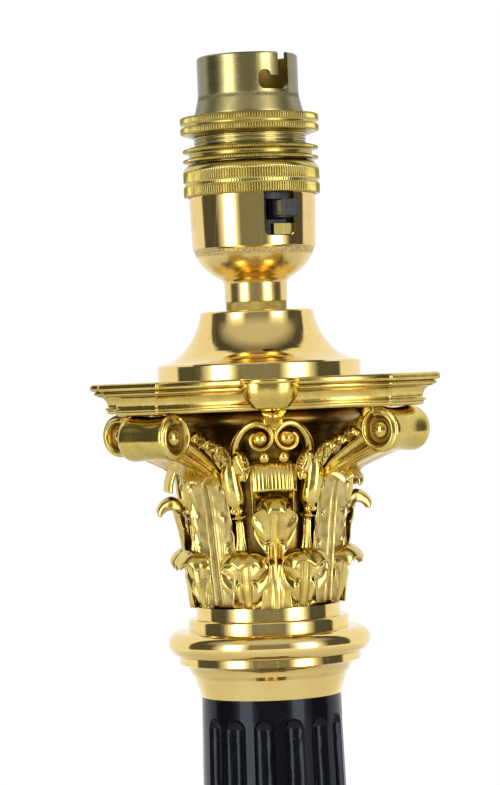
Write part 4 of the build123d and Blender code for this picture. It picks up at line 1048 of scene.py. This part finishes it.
# %% Knurled rings
horizon_mm = horizon / MM
BORE = 14.2
TOOTH_COLUMNS = 6
UPPER_RING = [(BORE, 65.4, 0), (16.5, 65.9, 0), (16.95, 65.85, 0.2), (17.3, 65.6, 1), (17.3, 64.35, 1),
              (17.1, 64.15, 0.5), (16.9, 64.05, 0), (16.75, 63.9, 0), (16.75, 63.5, 0), (16.9, 63.35, 0),
              (17.1, 63.25, 0.5), (17.3, 63.05, 1), (17.3, 61.95, 1), (17.0, 61.65, 0.4), (16.5, 61.5, 0),
              (15.6, 61.45, 0), (15.25, 61.3, 0), (15.2, 61.05, 0), (14.5, 61.0, 0), (BORE, 61.2, 0)]
LOWER_RING = [(BORE, 58.3, 0), (14.5, 58.5, 0), (15.6, 58.2, 0), (16.4, 57.95, 0.2), (16.9, 57.8, 1),
              (16.9, 57.25, 1), (16.5, 57.08, 0.3), (15.6, 56.95, 0), (15.4, 56.7, 0), (15.4, 55.8, 0),
              (15.6, 55.55, 0), (16.5, 55.42, 0.3), (16.9, 55.25, 1), (16.9, 54.8, 1), (16.6, 54.62, 0.4),
              (15.2, 54.6, 0), (14.4, 54.6, 0), (BORE, 54.8, 0)]
CAP_RING = [(14.1, 54.0, 0), (14.3, 54.2, 0), (15.0, 54.2, 0), (15.9, 53.9, 0), (16.55, 53.3, 0),
            (16.9, 52.65, 0), (16.98, 52.2, 0.1), (17.0, 51.95, 1), (17.0, 49.8, 1), (16.85, 49.62, 0.4),
            (16.7, 49.5, 0), (16.7, 48.75, 0), (16.85, 48.62, 0.4), (17.0, 48.45, 1), (17.0, 46.4, 1),
            (16.8, 46.1, 0.5), (16.4, 46.0, 0), (16.0, 46.0, 0), (15.95, 46.2, 0), (15.95, 51.9, 0),
            (15.8, 52.2, 0), (14.1, 52.3, 0)]


def knurled_ring(section, teeth, depth):
    """A ring from its section. A valley is depth * (0.5 - 0.5 cos(teeth * turn)) ** 0.8,
    and its depth drifts a little round the ring, as a worn knurling wheel leaves it."""
    radius, height, share = np.array(section).T[:, :, None]
    turn = turns_of(teeth * TOOTH_COLUMNS)
    drift = 1 + 0.18 * np.sin(3 * turn + 0.7) + 0.14 * np.sin(17 * turn + 2.1)
    valley = (0.5 - 0.5 * np.cos(teeth * turn)) ** 0.8 * share
    # dirt and painted shade: the knurl's valleys and the grooves between its flanges are darkened
    deep = np.maximum(valley, np.clip((radius.max() - radius - 0.2) * 0.6, 0, 0.55))
    return shell(around(radius - depth * drift * valley, turn, horizon_mm + height), deep, wrap_rows=True)


for name, section, teeth, depth, body, node in (
    ("knurled_upper_ring", UPPER_RING, 164, 0.38, "upper_ring", "shade_ring_upper"),
    ("knurled_lower_ring", LOWER_RING, 170, 0.32, "lower_ring", "shade_ring_lower"),
    ("knurled_cap_ring", CAP_RING, 160, 0.38, "lamp", "cap_ring"),
):
    add_piece(name, [knurled_ring(section, teeth, depth)], "holder_brass", body, [node])


def sleeve(outside, inside, turn, deep):
    """A closed tube from its outer grid and the radii and heights of its inner rows."""
    radius, height = np.array(inside).T[:, :, None]
    rows = np.concatenate([outside, around(radius, turn, horizon_mm + height)])
    return shell(rows, np.concatenate([deep, 0 * (radius + turn)]), wrap_rows=True)


def diamond_nut():
    """The lock nut: crossed teeth, 0.17 (1 - |cos(36 turn + 5 z)| |cos(36 turn - 5 z)|) deep."""
    turn = turns_of(36 * 16)
    height = np.linspace(17.45, 19.55, 25)[:, None]
    valley = 1 - np.abs(np.cos(36 * turn + 5 * height)) * np.abs(np.cos(36 * turn - 5 * height))
    valley = valley * (1 - 0.4 * np.abs((height - 18.5) / 1.05) ** 8)
    outside = around(7.6 - 0.17 * valley, turn, horizon_mm + height)
    # dirt and painted shade: the valleys between the diamonds are darkened
    return sleeve(outside, [(7.3, 19.58), (5.2, 19.58), (5.2, 17.42), (7.3, 17.42)], turn, 0.7 * valley)


add_piece("knurled_lock_nut", [diamond_nut()], "holder_brass", replaces=["lock_nut"])

# %% [markdown]
# Between the rings the barrel's outside thread shows. It is a thin sleeve with one helical ridge.

# %% Thread
THREAD_PITCH = 0.95
THREAD_LOW = 52.6
THREAD_HIGH = 66.4
RUN_OUT = 0.8  # the length in which the ridge fades at each end


def thread():
    """The sleeve: its radius follows a cosine of height / pitch minus turn, clear of the rings."""
    turn = turns_of(160)
    height = np.linspace(THREAD_LOW, THREAD_HIGH, 200)[:, None]
    starts = smooth_step(height, THREAD_LOW, THREAD_LOW + RUN_OUT)
    ends = smooth_step(height, THREAD_HIGH - RUN_OUT, THREAD_HIGH)
    ridge = (0.5 + 0.5 * np.cos(TAU * height / THREAD_PITCH - turn)) * starts * (1 - ends)
    outside = around(13.75 + 0.33 * ridge, turn, horizon_mm + height)
    # dirt and painted shade: the thread's roots are darkened
    return sleeve(outside, [(13.2, THREAD_HIGH), (13.2, THREAD_LOW)], turn, 0.6 * (1 - ridge))


add_piece("barrel_thread", [thread()], "holder_brass")


# %% [markdown]
# The floor is a pale round sweep. The photograph shows no horizon, so the floor turns from a lit
# surface into plain white as it runs out. That white is emission for the camera and for
# reflections, at a strength of 1, so it lights nothing and the lamp keeps its shadow.

# %% Floor
FLOOR_RADIUS = 2000.0
FLOOR_RINGS = 24
FLOOR_SPOKES = 96
WHITE_FROM = 0.35  # metres from the axis
WHITE_AT = 1.3
rings = np.linspace(FLOOR_RADIUS / FLOOR_RINGS, FLOOR_RADIUS, FLOOR_RINGS)[:, None]
disc = np.append(around(rings, turns_of(FLOOR_SPOKES), 0.0).reshape(-1, 3), [[0, 0, 0]], axis=0)
hub = [(len(disc) - 1, k, (k + 1) % FLOOR_SPOKES) for k in range(FLOOR_SPOKES)]
floor = add_object("floor", disc, grid_faces(FLOOR_RINGS, FLOOR_SPOKES, False, True).tolist() + hub)

tree = new_finish("pale_floor", 0.0, Roughness=0.7)
tint = noise(place_of(tree), 30.0, 4.0).remap(0.35, 0.65)
link_finish(tree, mix(tint, (0.86, 0.86, 0.86), (0.89, 0.89, 0.89)))
paper = Value(tree.nodes["Principled BSDF"].outputs["BSDF"])
glow = add_node(tree, "Emission", "Emission", {"Color": (*WHITE, 1), "Strength": 1.0})
camera_ray, glossy_ray = add_node(tree, "LightPath", ("Is Camera Ray", "Is Glossy Ray"))
run_out = parts_of_place(tree)[3].math("SQRT").remap(WHITE_FROM, WHITE_AT)
fade = run_out * camera_ray.math("MAXIMUM", glossy_ray)
surface = add_node(tree, "MixShader", "Shader", {"Fac": fade, 1: paper, 2: glow})
tree.links.new(surface.socket, tree.nodes["Material Output"].inputs["Surface"])
floor.data.materials.append(MATERIAL["pale_floor"])
print("floor", FLOOR_RADIUS, "mm in radius")
